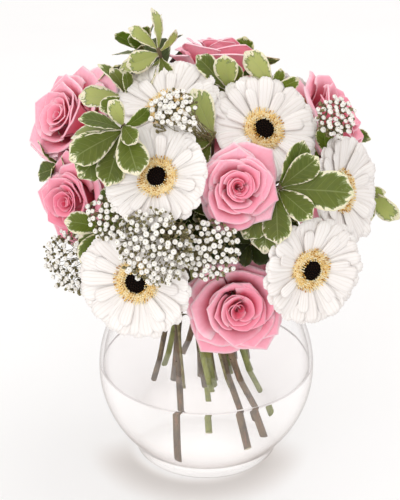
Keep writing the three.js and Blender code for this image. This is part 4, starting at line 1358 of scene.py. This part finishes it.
def cloud(tip, line, seed, kept):  # florets over a shallow cap, on threads from a few side twigs
    at, face, _, count, spread, _, turn = tip
    sight = (Vector(view["place"]) - Vector(at)).normalized()
    front = facing(face)
    if front.dot(sight) > 0:
        front = (front + sight * cloudShape["toViewer"]).normalized()
    place = frameAt(at, front, turn)
    threads = []
    hubs = []
    hubCount = max(cloudShape["hubs"], count // cloudShape["floretsPerHub"])
    for k in range(hubCount):
        out = spread * cloudShape["hubSpread"] * math.sqrt((k + 0.5) / hubCount)
        depth = varied(*cloudShape["hubDepth"], k, seed)
        hub = place @ ringPoint(out, goldenAngle * k, -depth)
        root = line[-1].lerp(line[-2], 0.9 * scatter(k, seed + 1))
        bend = root.lerp(hub, 0.5) + front * 0.002
        threads.append(list(zip((root, bend, hub), threadRadii["twig"])))
        hubs.append(hub)
    parts = []
    ends = [end for end in capPoints(place, spread, count, seed, turn) if not beforeHead(end, kept)]
    for i, end in enumerate(ends):
        hub = min(hubs, key=lambda spot: (spot - end).length)
        climb = (end - hub).normalized()
        outward = (end - Vector((0, 0, ballMiddle))).normalized()
        way = (climb * 0.5 + outward + Vector((0, 0, cloudShape["lift"]))).normalized()
        neck = end - way * cloudShape["neck"]
        bend = hub.lerp(neck, 0.55) - (way - climb) * 0.001
        threads.append(list(zip((hub, bend, neck), threadRadii["stalk"])))
        grown = varied(*cloudShape["floretSize"], i, seed + 3)
        parts.append(placed(floret, frameAt(neck, way, 40 * i) @ scaled(grown)))
    for i, end in enumerate(budPoints(place, spread, count * cloudShape["budsPerFloret"], seed)):
        if not beforeHead(end, kept):
            hub = min(hubs, key=lambda spot: (spot - end).length)
            threads.append(list(zip((hub, end), threadRadii["bud"])))
            grown = varied(*cloudShape["budSize"], i, seed + 24)
            parts.append(placed(bud, Matrix.Translation(end) @ scaled(grown)))
    parts.append(rods("threads", threads, 4, finishes["gypsophilaThread"]))
    return parts


for i, (_, tips) in enumerate(gypsophila):
    name = f"gypsophila{i + 1}"
    stem, points = stemPiece(name, stems["gypsophila"][i], finishes["gypsophilaThread"], sprayShape)
    lines = branchLines(points, tips, [tip[5] for tip in tips[1:]])
    parts = [stem, forkRods(lines, sprayShape, finishes["gypsophilaThread"])]
    for t, (tip, line) in enumerate(zip(tips, lines)):
        parts += cloud(tip, line, 10 * i + t, keptHeads.get((i, t), []))
    settle(joined(name, parts), "gypsophila", f"gypsophila_{i + 1}")
print("gypsophila made")

# The bowl and its water are lines spun round the middle.

bowl = {
    "radius": 0.100, "middle": 0.084, "wall": 0.0034, "height": 0.165, "steps": 96,
    "baseRadius": 0.066, "baseThickness": 0.007, "roundRim": 0.0015,
    "ballFrom": 0.014, "insideFrom": 0.020,  # the heights where the ball starts, outside and inside
}
water = {"level": 0.089, "drawnUp": 0.0016, "lap": 0.0001}  # lap is how far it goes into the glass


def ballArc(radius, low, high, steps):  # (radius, height) pairs up the side of the ball
    first = math.asin((low - bowl["middle"]) / radius)
    last = math.asin((high - bowl["middle"]) / radius)
    angles = [first + (last - first) * k / steps for k in range(steps + 1)]
    return [(radius * math.cos(angle), bowl["middle"] + radius * math.sin(angle)) for angle in angles]


# the inside of the base, from its middle out to the glass: share of the radius there, rise
floorCurve = [(0, 0), (0.28, 0.0001), (0.50, 0.0006), (0.67, 0.0017), (0.81, 0.0038), (0.92, 0.0076)]


def bowlPiece():
    top = bowl["height"] - bowl["roundRim"]
    outside = ballArc(bowl["radius"], bowl["ballFrom"], top, 30)
    inside = ballArc(bowl["radius"] - bowl["wall"], bowl["insideFrom"], top, 30)[::-1]
    rimOut, rimIn = outside[-1][0], inside[0][0]
    rim = [(rimOut + (rimIn - rimOut) * share, top + up)
           for share, up in ((0.15, 0.0009), (0.35, 0.0014), (0.65, 0.0014), (0.85, 0.0009))]
    foot = [(0, 0), (0.030, 0), (0.062, 0), (bowl["baseRadius"], 0.0006), (0.0680, 0.0030), (0.0694, 0.0080)]
    floorLine = [(share * inside[-1][0], bowl["baseThickness"] + up) for share, up in floorCurve[::-1]]
    return lathe("bowl", foot + outside + rim + inside + floorLine, bowl["steps"], finishes["bowlGlass"])


def waterPiece():  # fills the bowl, just into the glass, with its surface drawn up at the wall
    inner = bowl["radius"] - bowl["wall"] + water["lap"]
    level = water["level"]
    side = ballArc(inner, bowl["insideFrom"], level + water["drawnUp"], 24)
    bottom = [(share * side[0][0], bowl["baseThickness"] - water["lap"] + up) for share, up in floorCurve]
    edge = side[-1][0]
    surface = [(edge - 0.0010, level + 0.0009), (edge - 0.0024, level + 0.0003), (edge - 0.0048, level),
               (edge * 0.5, level), (0, level)]
    return lathe("water", bottom + side + surface, bowl["steps"], finishes["bowlWater"])


settle(bowlPiece(), "glass", "bowl")
settle(waterPiece(), "water", "water")
print("bowl and water made")

for source in (*rayPetals, goldFloret, goldBase, eyeFloret, eyeDome, greenCup, bract,
               *cupPetals.values(), roseHip, sepal, thorn, *leaves, floret, bud):
    bpy.data.objects.remove(source)
